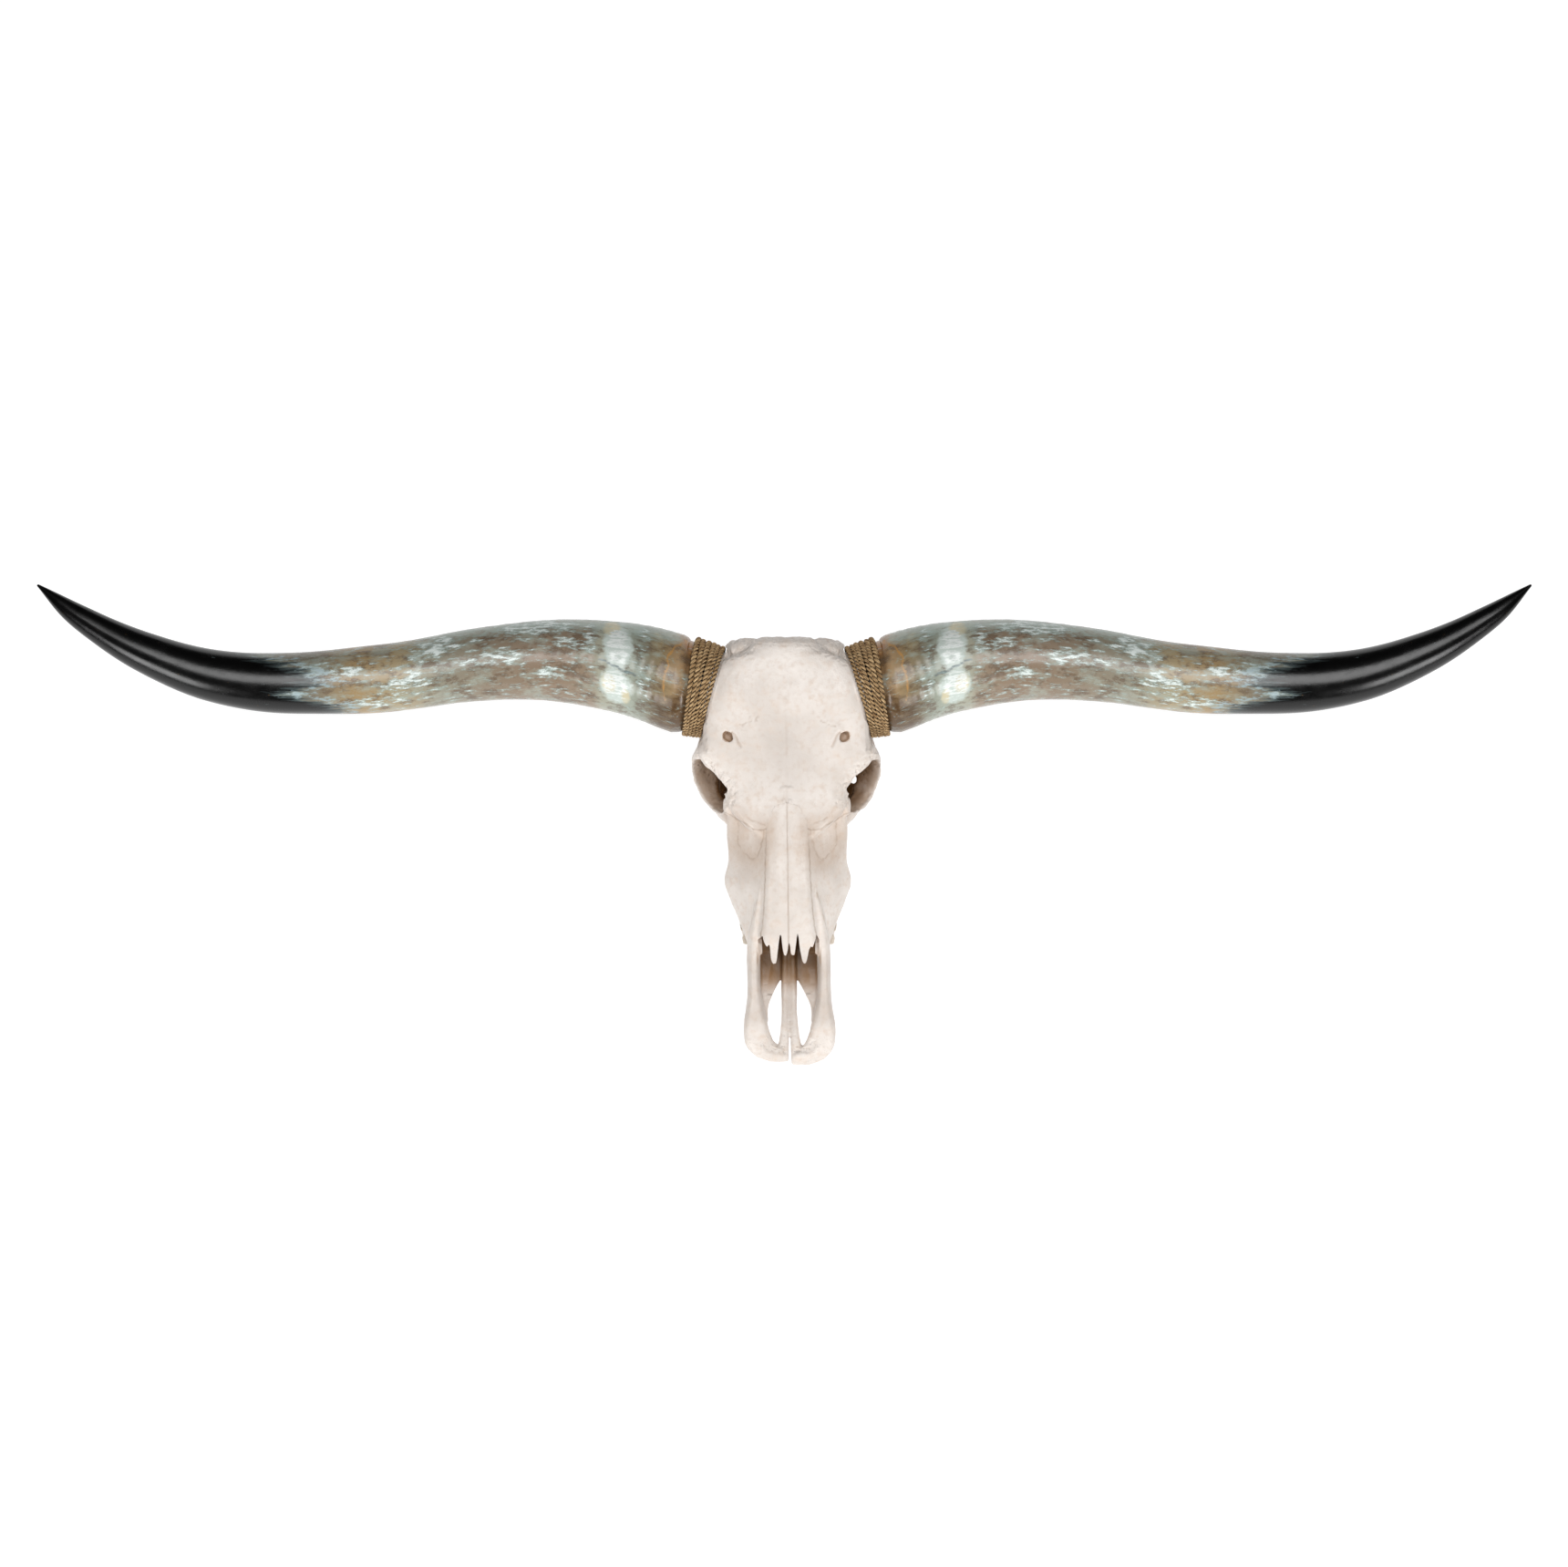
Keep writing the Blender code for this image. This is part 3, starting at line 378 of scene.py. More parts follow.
def grid_faces(rows: int, columns: int, loop_rows: bool = False) -> np.ndarray:
    """Faces of a tube of rings, whose points run ring after ring.

    Args:
        rows: how many rings.
        columns: how many points in each closed ring.
        loop_rows: whether the last ring joins the first.

    Returns:
        An array of four corners for each face.
    """
    i = np.arange(rows if loop_rows else rows - 1)[:, None]
    j = np.arange(columns)[None, :]
    near, far = i * columns, (i + 1) % rows * columns
    after = (j + 1) % columns
    corners = np.broadcast_arrays(near + j, near + after, far + after, far + j)
    return np.stack(corners, axis=-1).reshape(-1, 4)


def outward(points: np.ndarray, faces: np.ndarray) -> np.ndarray:
    """The faces of a closed shell, turned over if its volume comes out negative."""
    a, b, c = (points[faces[:, k]] for k in (0, 1, 2))
    volume = np.einsum("ij,ij->i", a, np.cross(b, c)).sum()
    if faces.shape[1] == 4:
        d = points[faces[:, 3]]
        volume += np.einsum("ij,ij->i", a, np.cross(c, d)).sum()
    return faces if volume > 0 else faces[:, ::-1]


def with_ends(rings: np.ndarray) -> np.ndarray:
    """The points of an array of rings, then the middles of the first ring and of the last."""
    return np.concatenate((rings.reshape(-1, 3), rings[:1].mean(axis=1), rings[-1:].mean(axis=1)))


def closed_tube(rings: np.ndarray) -> tuple[np.ndarray, np.ndarray]:
    """A tube through closed rings, with both ends shut by a fan to their middle.

    Args:
        rings: an (n, k, 3) array.

    Returns:
        Its points and its triangles, which face outwards.
    """
    rows, columns, _ = rings.shape
    points = with_ends(rings)
    quads = grid_faces(rows, columns)
    j = np.arange(columns)
    after = (j + 1) % columns
    first, last = rows * columns, rows * columns + 1
    base = (rows - 1) * columns
    caps = (
        np.column_stack((after, j, j * 0 + first)),
        np.column_stack((base + j, base + after, j * 0 + last)),
    )
    triangles = np.concatenate((quads[:, [0, 1, 2]], quads[:, [0, 2, 3]], *caps))
    return points, outward(points, triangles)


class Clay:
    """Closed shells that overlap, gathered to be fused into one skin."""

    def __init__(self) -> None:
        """Starts with nothing."""
        self.points: list[np.ndarray] = []
        self.faces: list[np.ndarray] = []
        self.count = 0

    def add(self, rings: np.ndarray) -> None:
        """Adds the closed tube through these rings."""
        points, faces = closed_tube(rings)
        self.points.append(points)
        self.faces.append(faces + self.count)
        self.count += len(points)

    def tube(
        self, side: Side, line: Rows, sizes: Rows, sides: int = 40, steps: int = 12
    ) -> None:
        """Adds a tube along a smooth line on one side, an ellipse across it at each point.

        Args:
            side: the side, whose sign x takes.
            line: its points as x, s, z, in millimetres.
            sizes: half the width across x and half the height at each point, in millimetres.
            sides: points round the tube.
            steps: rings for each stretch of the line.
        """
        path = smooth(spots(*np.array(side.put(mm(*line))).T), steps)
        size = smooth(mm(*sizes), steps)
        ahead = unit(np.gradient(path, axis=0))
        plain = (np.abs(ahead[:, 0]) < 0.8)[:, None]
        level = np.where(plain, (1.0, 0.0, 0.0), (0.0, 1.0, 0.0))
        up = np.where(plain, unit(np.cross(ahead, level)), (0.0, 0.0, 1.0))
        across = unit(np.cross(up, ahead))
        up = np.cross(ahead, across)
        angle = angles(sides)[None, :, None]
        wide = across[:, None] * size[:, 0, None, None] * np.cos(angle)
        high = up[:, None] * size[:, 1, None, None] * np.sin(angle)
        self.add(path[:, None] + wide + high)

    def ball(
        self,
        side: Side,
        centre: Sequence[float],
        radii: Sequence[float],
        turn: Sequence[float] = (0, 0, 0),
    ) -> None:
        """Adds an ellipsoid on one side: circles of latitude, stretched along turned axes.

        Args:
            side: the side, whose sign x takes.
            centre: x, s, z of its middle, in millimetres.
            radii: half its lengths along x, s and z, in millimetres.
            turn: degrees about x, y and z, as on the right side.
        """
        rise = np.linspace(0.04, math.pi - 0.04, 32)[:, None]
        angle = angles(48)[None, :]
        across, along = np.sin(rise) * np.cos(angle), np.sin(rise) * np.sin(angle)
        ball = np.stack((across, along, np.cos(rise) + 0 * angle), axis=-1) * mm(radii)[0]
        rotation = np.array(Euler(np.radians(turn) * (1, side.value, side.value)).to_matrix())
        place = side.put(mm(centre))[0]
        self.add(spots(*place) + ball @ rotation.T)

    def to_object(self, name: str) -> bpy.types.Object:
        """The shells as one object."""
        return new_object(name, np.concatenate(self.points), np.concatenate(self.faces))


def apply_modifier(obj: bpy.types.Object, kind: str, **settings: object) -> bpy.types.Object:
    """Puts one modifier on an object and applies it.

    Args:
        obj: the object.
        kind: the modifier's type.
        **settings: the modifier's values.

    Returns:
        The object.
    """
    modifier = obj.modifiers.new(kind.lower(), kind)
    for key, value in settings.items():
        setattr(modifier, key, value)
    graph = bpy.context.evaluated_depsgraph_get()
    mesh = bpy.data.meshes.new_from_object(obj.evaluated_get(graph))
    obj.modifiers.clear()
    old, obj.data = obj.data, mesh
    bpy.data.meshes.remove(old)
    return obj


def fuse(obj: bpy.types.Object, voxel: float) -> bpy.types.Object:
    """Makes overlapping shells one skin of even squares."""
    return apply_modifier(obj, "REMESH", mode="VOXEL", voxel_size=voxel, adaptivity=0.0)


def cut(obj: bpy.types.Object, tool: bpy.types.Object, keep: Cut) -> bpy.types.Object:
    """A Boolean of two closed meshes, after which the tool is gone."""
    apply_modifier(obj, "BOOLEAN", object=tool, operation=keep.value, solver="MANIFOLD")
    bpy.data.objects.remove(tool)
    return obj


def twin_of(obj: bpy.types.Object) -> bpy.types.Object:
    """A copy of an object with a mesh of its own."""
    return linked("twin", obj.data.copy())


def shells_of(obj: bpy.types.Object, least: int) -> list[tuple[np.ndarray, np.ndarray]]:
    """The separate shells of a mesh: each point takes the lowest number of what it is joined to.

    Args:
        obj: the object.
        least: shells with fewer triangles are dropped.

    Returns:
        Points and triangles of each shell, the largest first.
    """
    points, triangles = points_of(obj.data), triangles_of(obj.data)
    a, b = edges_of(obj.data).T
    label = np.arange(len(points))
    while True:
        before = label.copy()
        low = np.minimum(label[a], label[b])
        np.minimum.at(label, before[a], low)
        np.minimum.at(label, before[b], low)
        label = label[label]
        if np.array_equal(before, label):
            break
    own = label[triangles[:, 0]]
    names, counts = np.unique(own, return_counts=True)
    found = []
    for name, count in sorted(zip(names, counts), key=lambda pair: -pair[1]):
        if count < least:
            break
        faces = triangles[own == name]
        used, faces = np.unique(faces, return_inverse=True)
        found.append((points[used], faces.reshape(-1, 3)))
    return found


def relax(mesh: bpy.types.Mesh, times: int, strength: np.ndarray | float = 1.0) -> None:
    """Smooths a mesh without shrinking it: each point moves towards the mean of its neighbours by
    half, and then away from their new mean by a little more than half.

    Args:
        mesh: the mesh.
        times: how many such pairs of steps.
        strength: from 0 to 1, one number or one for each point.
    """
    points = points_of(mesh)
    a, b = edges_of(mesh).T
    count = np.maximum(np.bincount(np.concatenate((a, b)), minlength=len(points)), 1)
    strength = np.broadcast_to(strength, len(points))[:, None]
    for factor in (0.5, -0.52) * times:
        mean = np.empty_like(points)
        for k in range(3):
            total = np.bincount(a, points[b, k], len(points)) + np.bincount(b, points[a, k], len(points))
            mean[:, k] = total / count
        points = points + (mean - points) * factor * strength
    set_points(mesh, points)


class Surroundings:
    """A lattice that holds how much skin lies in each cell, to tell cavities from open faces."""

    def __init__(self, points: np.ndarray, reach: float) -> None:
        """Counts a skin's points in cells, and blurs the counts over three cells each way, twice.

        Args:
            points: evenly spread points of the skin.
            reach: how far ahead of a face its surroundings are read.
        """
        self.reach = reach
        self.cell = reach / 2.5
        self.low = points.min(axis=0) - 3 * reach
        size = (points.max(axis=0) + 3 * reach - self.low) / self.cell
        self.shape = tuple(np.ceil(size).astype(int) + 3)
        cell = np.floor((points - self.low) / self.cell).astype(int)
        counts = np.bincount(np.ravel_multi_index(cell.T, self.shape), minlength=math.prod(self.shape))
        self.counts = counts.reshape(self.shape).astype(float)
        for axis in (0, 1, 2) * 2:
            self.counts = sum(np.roll(self.counts, shift, axis) for shift in (-1, 0, 1)) / 3
        self.full = float(np.median(self.read(points)))

    def read(self, points: np.ndarray) -> np.ndarray:
        """The blurred count at each point."""
        return blend(self.counts, (points - self.low) / self.cell - 0.5, False)

    def ahead(self, points: np.ndarray, normals: np.ndarray) -> np.ndarray:
        """How much skin lies ahead of each point, as a share of what lies on it."""
        return self.read(points + normals * self.reach) / self.full


# ------------------------------------------------------------------ clay shapes


def oval_rings(rows: Rows, power: float, sides: int = 72, count: int = 60) -> np.ndarray:
    """A loft along s, whose sections are squarish ovals: |x|^power + |z|^power is constant.

    Args:
        rows: s, near x, far x, top and bottom of each section.
        power: 2 for an ellipse, more for a squarer section.
        sides: points round a section.
        count: how many sections.

    Returns:
        The rings as (x, -s, z).
    """
    s = np.linspace(rows[0][0], rows[-1][0], count)
    near, far, top, bottom = curve_through(rows, s).T[:, :, None]
    angle = angles(sides)
    across, upward = squared(np.cos(angle), 2 / power), squared(np.sin(angle), 2 / power)
    x = (near + far) / 2 + np.abs(far - near) / 2 * across
    z = (top + bottom) / 2 + (top - bottom) / 2 * upward
    return spots(x, s[:, None], z)


def centred(rows: Rows) -> Rows:
    """Rows of s, half width, top and bottom as rows for a loft about the midline."""
    return [(s, -wide, wide, top, bottom) for s, wide, top, bottom in rows]


def sided(rows: Rows, side: Side) -> Rows:
    """Rows of s, near x, far x, top and bottom, put on one side."""
    return [(s, side.value * near, side.value * far, top, bottom) for s, near, far, top, bottom in rows]


def both_halves(x: np.ndarray, z: np.ndarray) -> tuple[np.ndarray, np.ndarray]:
    """Half sections, from the middle of the top to that of the bottom, closed by their mirror."""
    return np.concatenate((x, -x[:, -2:0:-1]), axis=1), np.concatenate((z, z[:, -2:0:-1]), axis=1)


def outline_rings(rows: Rows, outline: Rows, count: int = 72, fineness: int = 5) -> np.ndarray:
    """A loft along s about the midline, whose half section is a smooth curve through shares.

    Args:
        rows: s, half width, top and bottom of each section.
        outline: half a section from the middle of its top, as shares of half width and depth.
        count: how many sections.
        fineness: points for each step of the outline.

    Returns:
        The rings as (x, -s, z).
    """
    s = np.linspace(rows[0][0], rows[-1][0], count)
    wide, top, bottom = curve_through(rows, s).T[:, :, None]
    across, down = smooth(outline, fineness).T
    x, z = both_halves(wide * across, top + (bottom - top) * down)
    return spots(x, s[:, None], z)


def block_rings(outline: Rows, low: float, high: float) -> np.ndarray:
    """An outline of (x, s) points, made a block between two heights."""
    x, s = np.array(outline, float).T
    return np.stack((spots(x, s, low), spots(x, s, high)))


def ribbon_rings(path: np.ndarray, low: float, high: float, gap: float, upright: bool) -> np.ndarray:
    """A thin sheet through a path, as thick as a suture.

    Args:
        path: points of (x, s), or of (s, z) for an upright sheet that runs across x.
        low: where the sheet starts across the path.
        high: where it ends.
        gap: its thickness.
        upright: whether the path is of (x, s).

    Returns:
        The rings as (x, -s, z).
    """
    shift = left_of(path) * gap / 2
    near, far = (path - shift).T, (path + shift).T
    if upright:
        corners = (spots(*near, low), spots(*far, low), spots(*far, high), spots(*near, high))
    else:
        corners = (spots(low, *near), spots(low, *far), spots(high, *far), spots(high, *near))
    return np.stack(corners, axis=1)


def solid(name: str, *rings: np.ndarray) -> bpy.types.Object:
    """The closed tubes through sets of rings, as one object."""
    clay = Clay()
    for one in rings:
        clay.add(one)
    return clay.to_object(name)


# ------------------------------------------------------------------ materials


def linear(colour: str) -> tuple[float, float, float, float]:
    """An sRGB hex colour as linear red, green and blue, with full alpha."""
    shares = [int(colour.lstrip("#")[k : k + 2], 16) / 255 for k in (0, 2, 4)]
    red, green, blue = (c / 12.92 if c <= 0.04045 else ((c + 0.055) / 1.055) ** 2.4 for c in shares)
    return red, green, blue, 1.0


def feed(
    tree: bpy.types.NodeTree, node: bpy.types.Node, inputs: Mapping[int | str, object]
) -> None:
    """Gives a node's inputs, by name or number, plain values or the outputs that feed them."""
    for key, value in inputs.items():
        if isinstance(value, bpy.types.NodeSocket):
            tree.links.new(value, node.inputs[key])
        else:
            node.inputs[key].default_value = value


def add_node(
    tree: bpy.types.NodeTree,
    kind: str,
    inputs: Mapping[int | str, object] | None = None,
    out: int | str = 0,
    **settings: object,
) -> bpy.types.NodeSocket:
    """Adds a shader node with its settings, its sockets' values and its links.

    Args:
        tree: the material's node tree.
        kind: the node's type, without the word ShaderNode.
        inputs: for a named or numbered input, a plain value or the output that feeds it.
        out: the output that is wanted.
        **settings: the node's own properties; stops is a list of (place, hex colour) of a ramp.

    Returns:
        The wanted output.
    """
    made = tree.nodes.new("ShaderNode" + kind)
    for key, value in settings.items():
        if key == "stops":
            elements = made.color_ramp.elements
            while len(elements) < len(value):
                elements.new(1.0)
            for element, (place, colour) in zip(elements, value):
                element.position = place
                element.color = linear(colour)
        else:
            setattr(made, key, value)
    feed(tree, made, inputs or {})
    return made.outputs[out]


def new_material(name: str) -> tuple[bpy.types.Material, bpy.types.NodeTree, bpy.types.Node]:
    """A material with its tree and its Principled BSDF."""
    material = bpy.data.materials.new(name)
    material.use_nodes = True
    return material, material.node_tree, material.node_tree.nodes["Principled BSDF"]


@dataclass(frozen=True)
class BoneFinish:
    """Cleaned and bleached bone, sealed with a thin clear coat: cream white, with a soft gloss,
    faint warm clouds, brown where the cavities and sutures hold old grease and, in the hollows,
    as painted shade, grey and a darker brown as painted shade in recesses, and fine pores."""

    cream: str = "#ebe2da"
    shade: str = "#dfd5cc"
    warm: str = "#e6d6c8"
    # grey: partly painted shade, on the temples, the low middle of the forehead and the bump by the poll
    grey: str = "#b9afa7"
    # brown: partly old grease, partly painted shade in the hollows, the nerve holes and round the tear
    # bone
    brown: str = "#a27b52"
    # dark: a darker brown painted as shade deep in the nose and the sockets, in the holes and on the bone
    # under the rope
    dark: str = "#6a4a28"
    speck: str = "#cdb9a8"
    # suture: also painted as shade along the crease of the brow fold
    suture: str = "#a98f78"
    cloud_mm: float = 45.0
    patch_mm: float = 12.0
    pore_mm: float = 1.5
    speck_mm: float = 6.0

    def material(self) -> bpy.types.Material:
        """Clouds of cream and shade, then grey, brown, dark and suture tints by the piece's attributes,
        of which dark is painted shade and grey, brown and suture tints partly so; pores as bump,
        which deepen where the attribute rough is high."""
        material, tree, shader = new_material("bleached_bone")
        place = add_node(tree, "TexCoord", out="Object")
        sizes = ((self.cloud_mm, 4.0), (self.patch_mm, 5.0), (self.speck_mm, 4.0), (self.pore_mm, 3.0))
        cloud, patch, specks, grain = (
            add_node(tree, "TexNoise", {"Vector": place, "Scale": 1000 / size, "Detail": detail})
            for size, detail in sizes
        )
        colour = add_node(tree, "ValToRGB", {0: cloud}, stops=[(0.36, self.shade), (0.58, self.cream)])
        for pattern, cover, tint in ((patch, 0.8, self.warm), (specks, 0.36, self.speck)):
            share = add_node(tree, "MapRange", {0: pattern, 1: 0.5, 2: 0.78, 3: 0.0, 4: cover})
            colour = add_node(tree, "Mix", {0: share, 6: colour, 7: linear(tint)}, 2, data_type="RGBA")
        # dark is painted shade; stain, grey and seam are partly painted shade
        tints = {"grey": self.grey, "stain": self.brown, "dark": self.dark, "seam": self.suture}
        for name, tint in tints.items():
            share = add_node(tree, "Attribute", out="Fac", attribute_name=name)
            colour = add_node(tree, "Mix", {0: share, 6: colour, 7: linear(tint)}, 2, data_type="RGBA")
        rough = add_node(tree, "Attribute", out="Fac", attribute_name="rough")
        cells = {"Vector": place, "Scale": 1000 / (2 * self.pore_mm)}
        pores = add_node(tree, "TexVoronoi", cells, feature="F1")
        pit = add_node(tree, "MapRange", {0: pores, 1: 0.05, 2: 0.4, 3: 0.0, 4: 1.0})
        deep = add_node(tree, "MapRange", {0: rough, 1: 0.0, 2: 1.0, 3: 0.1, 4: 1.6})
        pits = add_node(tree, "Math", {0: pit, 1: deep}, operation="MULTIPLY")
        height = add_node(tree, "Math", {0: grain, 1: 0.35, 2: pits}, operation="MULTIPLY_ADD")
        height = add_node(tree, "Math", {0: specks, 1: 1.6, 2: height}, operation="MULTIPLY_ADD")
        bump = add_node(tree, "Bump", {"Height": height, "Strength": 0.55, "Distance": 0.0006})
        gloss = add_node(tree, "MapRange", {0: patch, 1: 0.3, 2: 0.7, 3: 0.34, 4: 0.52})
        feed(tree, shader, {"Base Color": colour, "Normal": bump, "Roughness": gloss})
        feed(tree, shader, {"Specular IOR Level": 0.45})
        return material


@dataclass(frozen=True)
class EnamelFinish:
    """Cheek teeth: cream enamel, glossier than the bone, with brown cement in the folds."""

    cream: str = "#e6ddcf"
    brown: str = "#8f7556"
    streak_mm: float = 2.5

    def material(self) -> bpy.types.Material:
        """Cream, browned by the attribute stain, in uneven streaks."""
        material, tree, shader = new_material("enamel")
        place = add_node(tree, "TexCoord", out="Object")
        waves = {"Vector": place, "Scale": 1000 / self.streak_mm, "Detail": 4.0}
        streak = add_node(tree, "TexNoise", waves)
        stain = add_node(tree, "Attribute", out="Fac", attribute_name="stain")
        uneven = add_node(tree, "Math", {0: streak, 1: 0.5, 2: stain}, operation="MULTIPLY_ADD")
        share = add_node(tree, "MapRange", {0: uneven, 1: 0.3, 2: 1.2, 3: 0.0, 4: 1.0})
        tints = {6: linear(self.cream), 7: linear(self.brown)}
        colour = add_node(tree, "Mix", {0: share, **tints}, 2, data_type="RGBA")
        bump = add_node(tree, "Bump", {"Height": streak, "Strength": 0.4, "Distance": 0.0004})
        feed(tree, shader, {"Base Color": colour, "Normal": bump, "Roughness": 0.28})
        return material


@dataclass(frozen=True)
class HornFinish:
    """Polished horn: keratin in long fibrous layers, sanded and waxed to a soft gloss. It is
    ochre and cracked at the foot, milky in bands, grey-brown with white flecks, and black in
    its last third; painted shade browns it beside the rope and blackens its neck under the rope.
    The piece's attributes say where; noise along the fibres breaks each edge."""

    reach: float = 0.9  # metres from the midline at which the attribute reach is 1
    keratin: tuple[tuple[float, str], ...] = (
        (0.112, "#8a6843"), (0.126, "#a98d6b"), (0.142, "#94805f"), (0.158, "#8b8068"),
        (0.172, "#8f9284"), (0.186, "#a3aa9c"), (0.222, "#a8a694"), (0.23, "#93826e"),
        (0.29, "#8f7c69"), (0.36, "#8d806e"), (0.41, "#949080"), (0.455, "#a9997a"),
        (0.51, "#a38b66"), (0.56, "#7f7a6c"),
    )
    crack: str = "#c79a55"
    # A pattern's name, the length and width of its grains in millimetres, and its detail
    patterns: tuple[tuple[str, float, float, float], ...] = (
        ("cloud", 34.0, 20.0, 4.0), ("mottle", 20.0, 11.0, 8.0), ("edge", 14.0, 7.0, 9.0),
        ("streak", 15.0, 4.2, 9.0), ("fibre", 55.0, 3.2, 5.0), ("spot", 4.0, 3.4, 2.0),
        ("grain", 20.0, 0.9, 3.0),
    )
    # Attribute, its weight, the pattern added to it, where the layer starts and is full, how
    # much it then covers, and its colour
    layers: tuple[tuple[str, float, str, float, float, float, str], ...] = (
        ("fleck", 0.02, "mottle", 0.5, 0.6, 0.75, "#6b5a4a"),
        ("fleck", 0.06, "cloud", 0.52, 0.66, 0.6, "#a7ada0"),
        ("crest", 0.4, "edge", 0.64, 0.9, 0.7, "#b3c2b8"),
        # brown: the foot's side away from the poll, and painted shade beside the rope
        ("brown", 0.6, "edge", 0.64, 1.0, 0.95, "#553f29"),
        ("foot", 0.6, "edge", 0.8, 1.1, 0.9, "#ad6f30"),
        ("pale", 0.8, "edge", 0.86, 1.12, 0.92, "#cbd6cf"),
        ("cream", 0.6, "mottle", 0.78, 1.14, 0.85, "#d5c9a4"),
        ("pale", 0.5, "streak", 0.92, 1.04, 0.9, "#f2f6f3"),
        ("slit", 0.5, "streak", 0.62, 0.9, 0.9, "#6d7a7c"),
        ("fleck", 0.17, "streak", 0.57, 0.68, 0.75, "#9fb4af"),
        ("fleck", 0.18, "streak", 0.655, 0.74, 0.98, "#e8f0ec"),
        ("fleck", 0.03, "spot", 0.72, 0.76, 0.65, "#8a5f3f"),
        # dark: the black of the tip, also painted as shade on the neck under the rope
        ("dark", 0.35, "fibre", 0.5, 0.68, 0.92, "#4d5a5c"),
        ("dark", 0.35, "fibre", 0.62, 0.86, 1.0, "#090909"),
        ("rim", 0.2, "streak", 0.68, 0.78, 0.8, "#9fb3b8"),
        ("ridge", 0.45, "edge", 0.66, 0.9, 0.85, "#bd8f57"),
    )

    def material(self) -> bpy.types.Material:
        """A ramp along the horn, the layers over it, and fine fibres with raised cracks as bump."""
        material, tree, shader = new_material("polished_horn")
        place = add_node(tree, "Attribute", out="Vector", attribute_name="straight")
        noises = {}
        for name, length, width, detail in self.patterns:
            stretch = {0: place, 1: (1000 / length, 1000 / width, 1000 / width)}
            stretched = add_node(tree, "VectorMath", stretch, operation="MULTIPLY")
            waves = {"Vector": stretched, "Scale": 1.0, "Detail": detail, "Roughness": 0.68}
            noises[name] = add_node(tree, "TexNoise", waves)
        reach = add_node(tree, "Attribute", out="Fac", attribute_name="reach")
        stops = [(x / self.reach, tint) for x, tint in self.keratin]
        colour = add_node(tree, "ValToRGB", {0: reach}, stops=stops)
        for name, weight, pattern, low, high, cover, tint in self.layers:
            mark = add_node(tree, "Attribute", out="Fac", attribute_name=name)
            terms = {0: mark, 1: weight, 2: noises[pattern]}
            level = add_node(tree, "Math", terms, operation="MULTIPLY_ADD")
            share = add_node(tree, "MapRange", {0: level, 1: low, 2: high, 3: 0.0, 4: cover})
            colour = add_node(tree, "Mix", {0: share, 6: colour, 7: linear(tint)}, 2, data_type="RGBA")
        # Cracks at the foot run where the clouds are halfway between dark and light
        foot = add_node(tree, "Attribute", out="Fac", attribute_name="foot")
        away = add_node(tree, "Math", {0: noises["cloud"], 1: 0.5}, operation="SUBTRACT")
        near = add_node(tree, "Math", {0: away}, operation="ABSOLUTE")
        crack = add_node(tree, "MapRange", {0: near, 1: 0.0, 2: 0.014, 3: 0.8, 4: 0.0})
        crack = add_node(tree, "Math", {0: crack, 1: foot}, operation="MULTIPLY")
        tints = {0: crack, 6: colour, 7: linear(self.crack)}
        colour = add_node(tree, "Mix", tints, 2, data_type="RGBA")
        height = crack
        for name, weight in (("grain", 0.25), ("streak", 0.5)):
            terms = {0: noises[name], 1: weight, 2: height}
            height = add_node(tree, "Math", terms, operation="MULTIPLY_ADD")
        bump = add_node(tree, "Bump", {"Height": height, "Strength": 0.22, "Distance": 0.0006})
        gloss = add_node(tree, "MapRange", {0: noises["mottle"], 1: 0.3, 2: 0.7, 3: 0.18, 4: 0.3})
        feed(tree, shader, {"Base Color": colour, "Normal": bump, "Roughness": gloss})
        feed(tree, shader, {"Specular IOR Level": 0.4})
        return material


@dataclass(frozen=True)
class RopeFinish:
    """Two-strand rope of a hard natural fibre, such as sisal: tan fibres that catch the light and
    brown between them, with painted shade, nearly black, where the strands and the turns meet."""

    brown: str = "#4a2f1a"
    tan: str = "#96734a"
    straw: str = "#dfc092"
    # Colour of the painted shade where the strands and the turns meet
    gap: str = "#120903"
    fibre_mm: float = 0.45
    length_mm: float = 9.0

    def material(self) -> bpy.types.Material:
        """Fibres as noise drawn out along the strand, darkened by the attribute deep, which is painted
        shade.
        """
        material, tree, shader = new_material("sisal_rope")
        place = add_node(tree, "Attribute", out="Vector", attribute_name="strand")
        stretch = {0: place, 1: (1000 / self.length_mm, 1000 / self.fibre_mm, 1000 / self.fibre_mm)}
        stretched = add_node(tree, "VectorMath", stretch, operation="MULTIPLY")
        fibres = add_node(tree, "TexNoise", {"Vector": stretched, "Scale": 1.0, "Detail": 3.0})
        stops = [(0.32, self.brown), (0.46, self.tan), (0.6, self.straw)]
        colour = add_node(tree, "ValToRGB", {0: fibres}, stops=stops)
        # Painted shade: nearly black where the strands and the turns meet
        deep = add_node(tree, "Attribute", out="Fac", attribute_name="deep")
        colour = add_node(tree, "Mix", {0: deep, 6: colour, 7: linear(self.gap)}, 2, data_type="RGBA")
        bump = add_node(tree, "Bump", {"Height": fibres, "Strength": 0.8, "Distance": 0.0004})
        feed(tree, shader, {"Base Color": colour, "Normal": bump, "Roughness": 0.78})
        feed(tree, shader, {"Specular IOR Level": 0.3})
        return material


def lay_down(mesh: bpy.types.Mesh) -> None:
    """Brings a mesh from the skull's frame to its rest pose, with nothing below the floor."""
    placed = REST.place(points_of(mesh))
    placed[:, 2] = np.maximum(placed[:, 2], 0.0)
    set_points(mesh, placed)


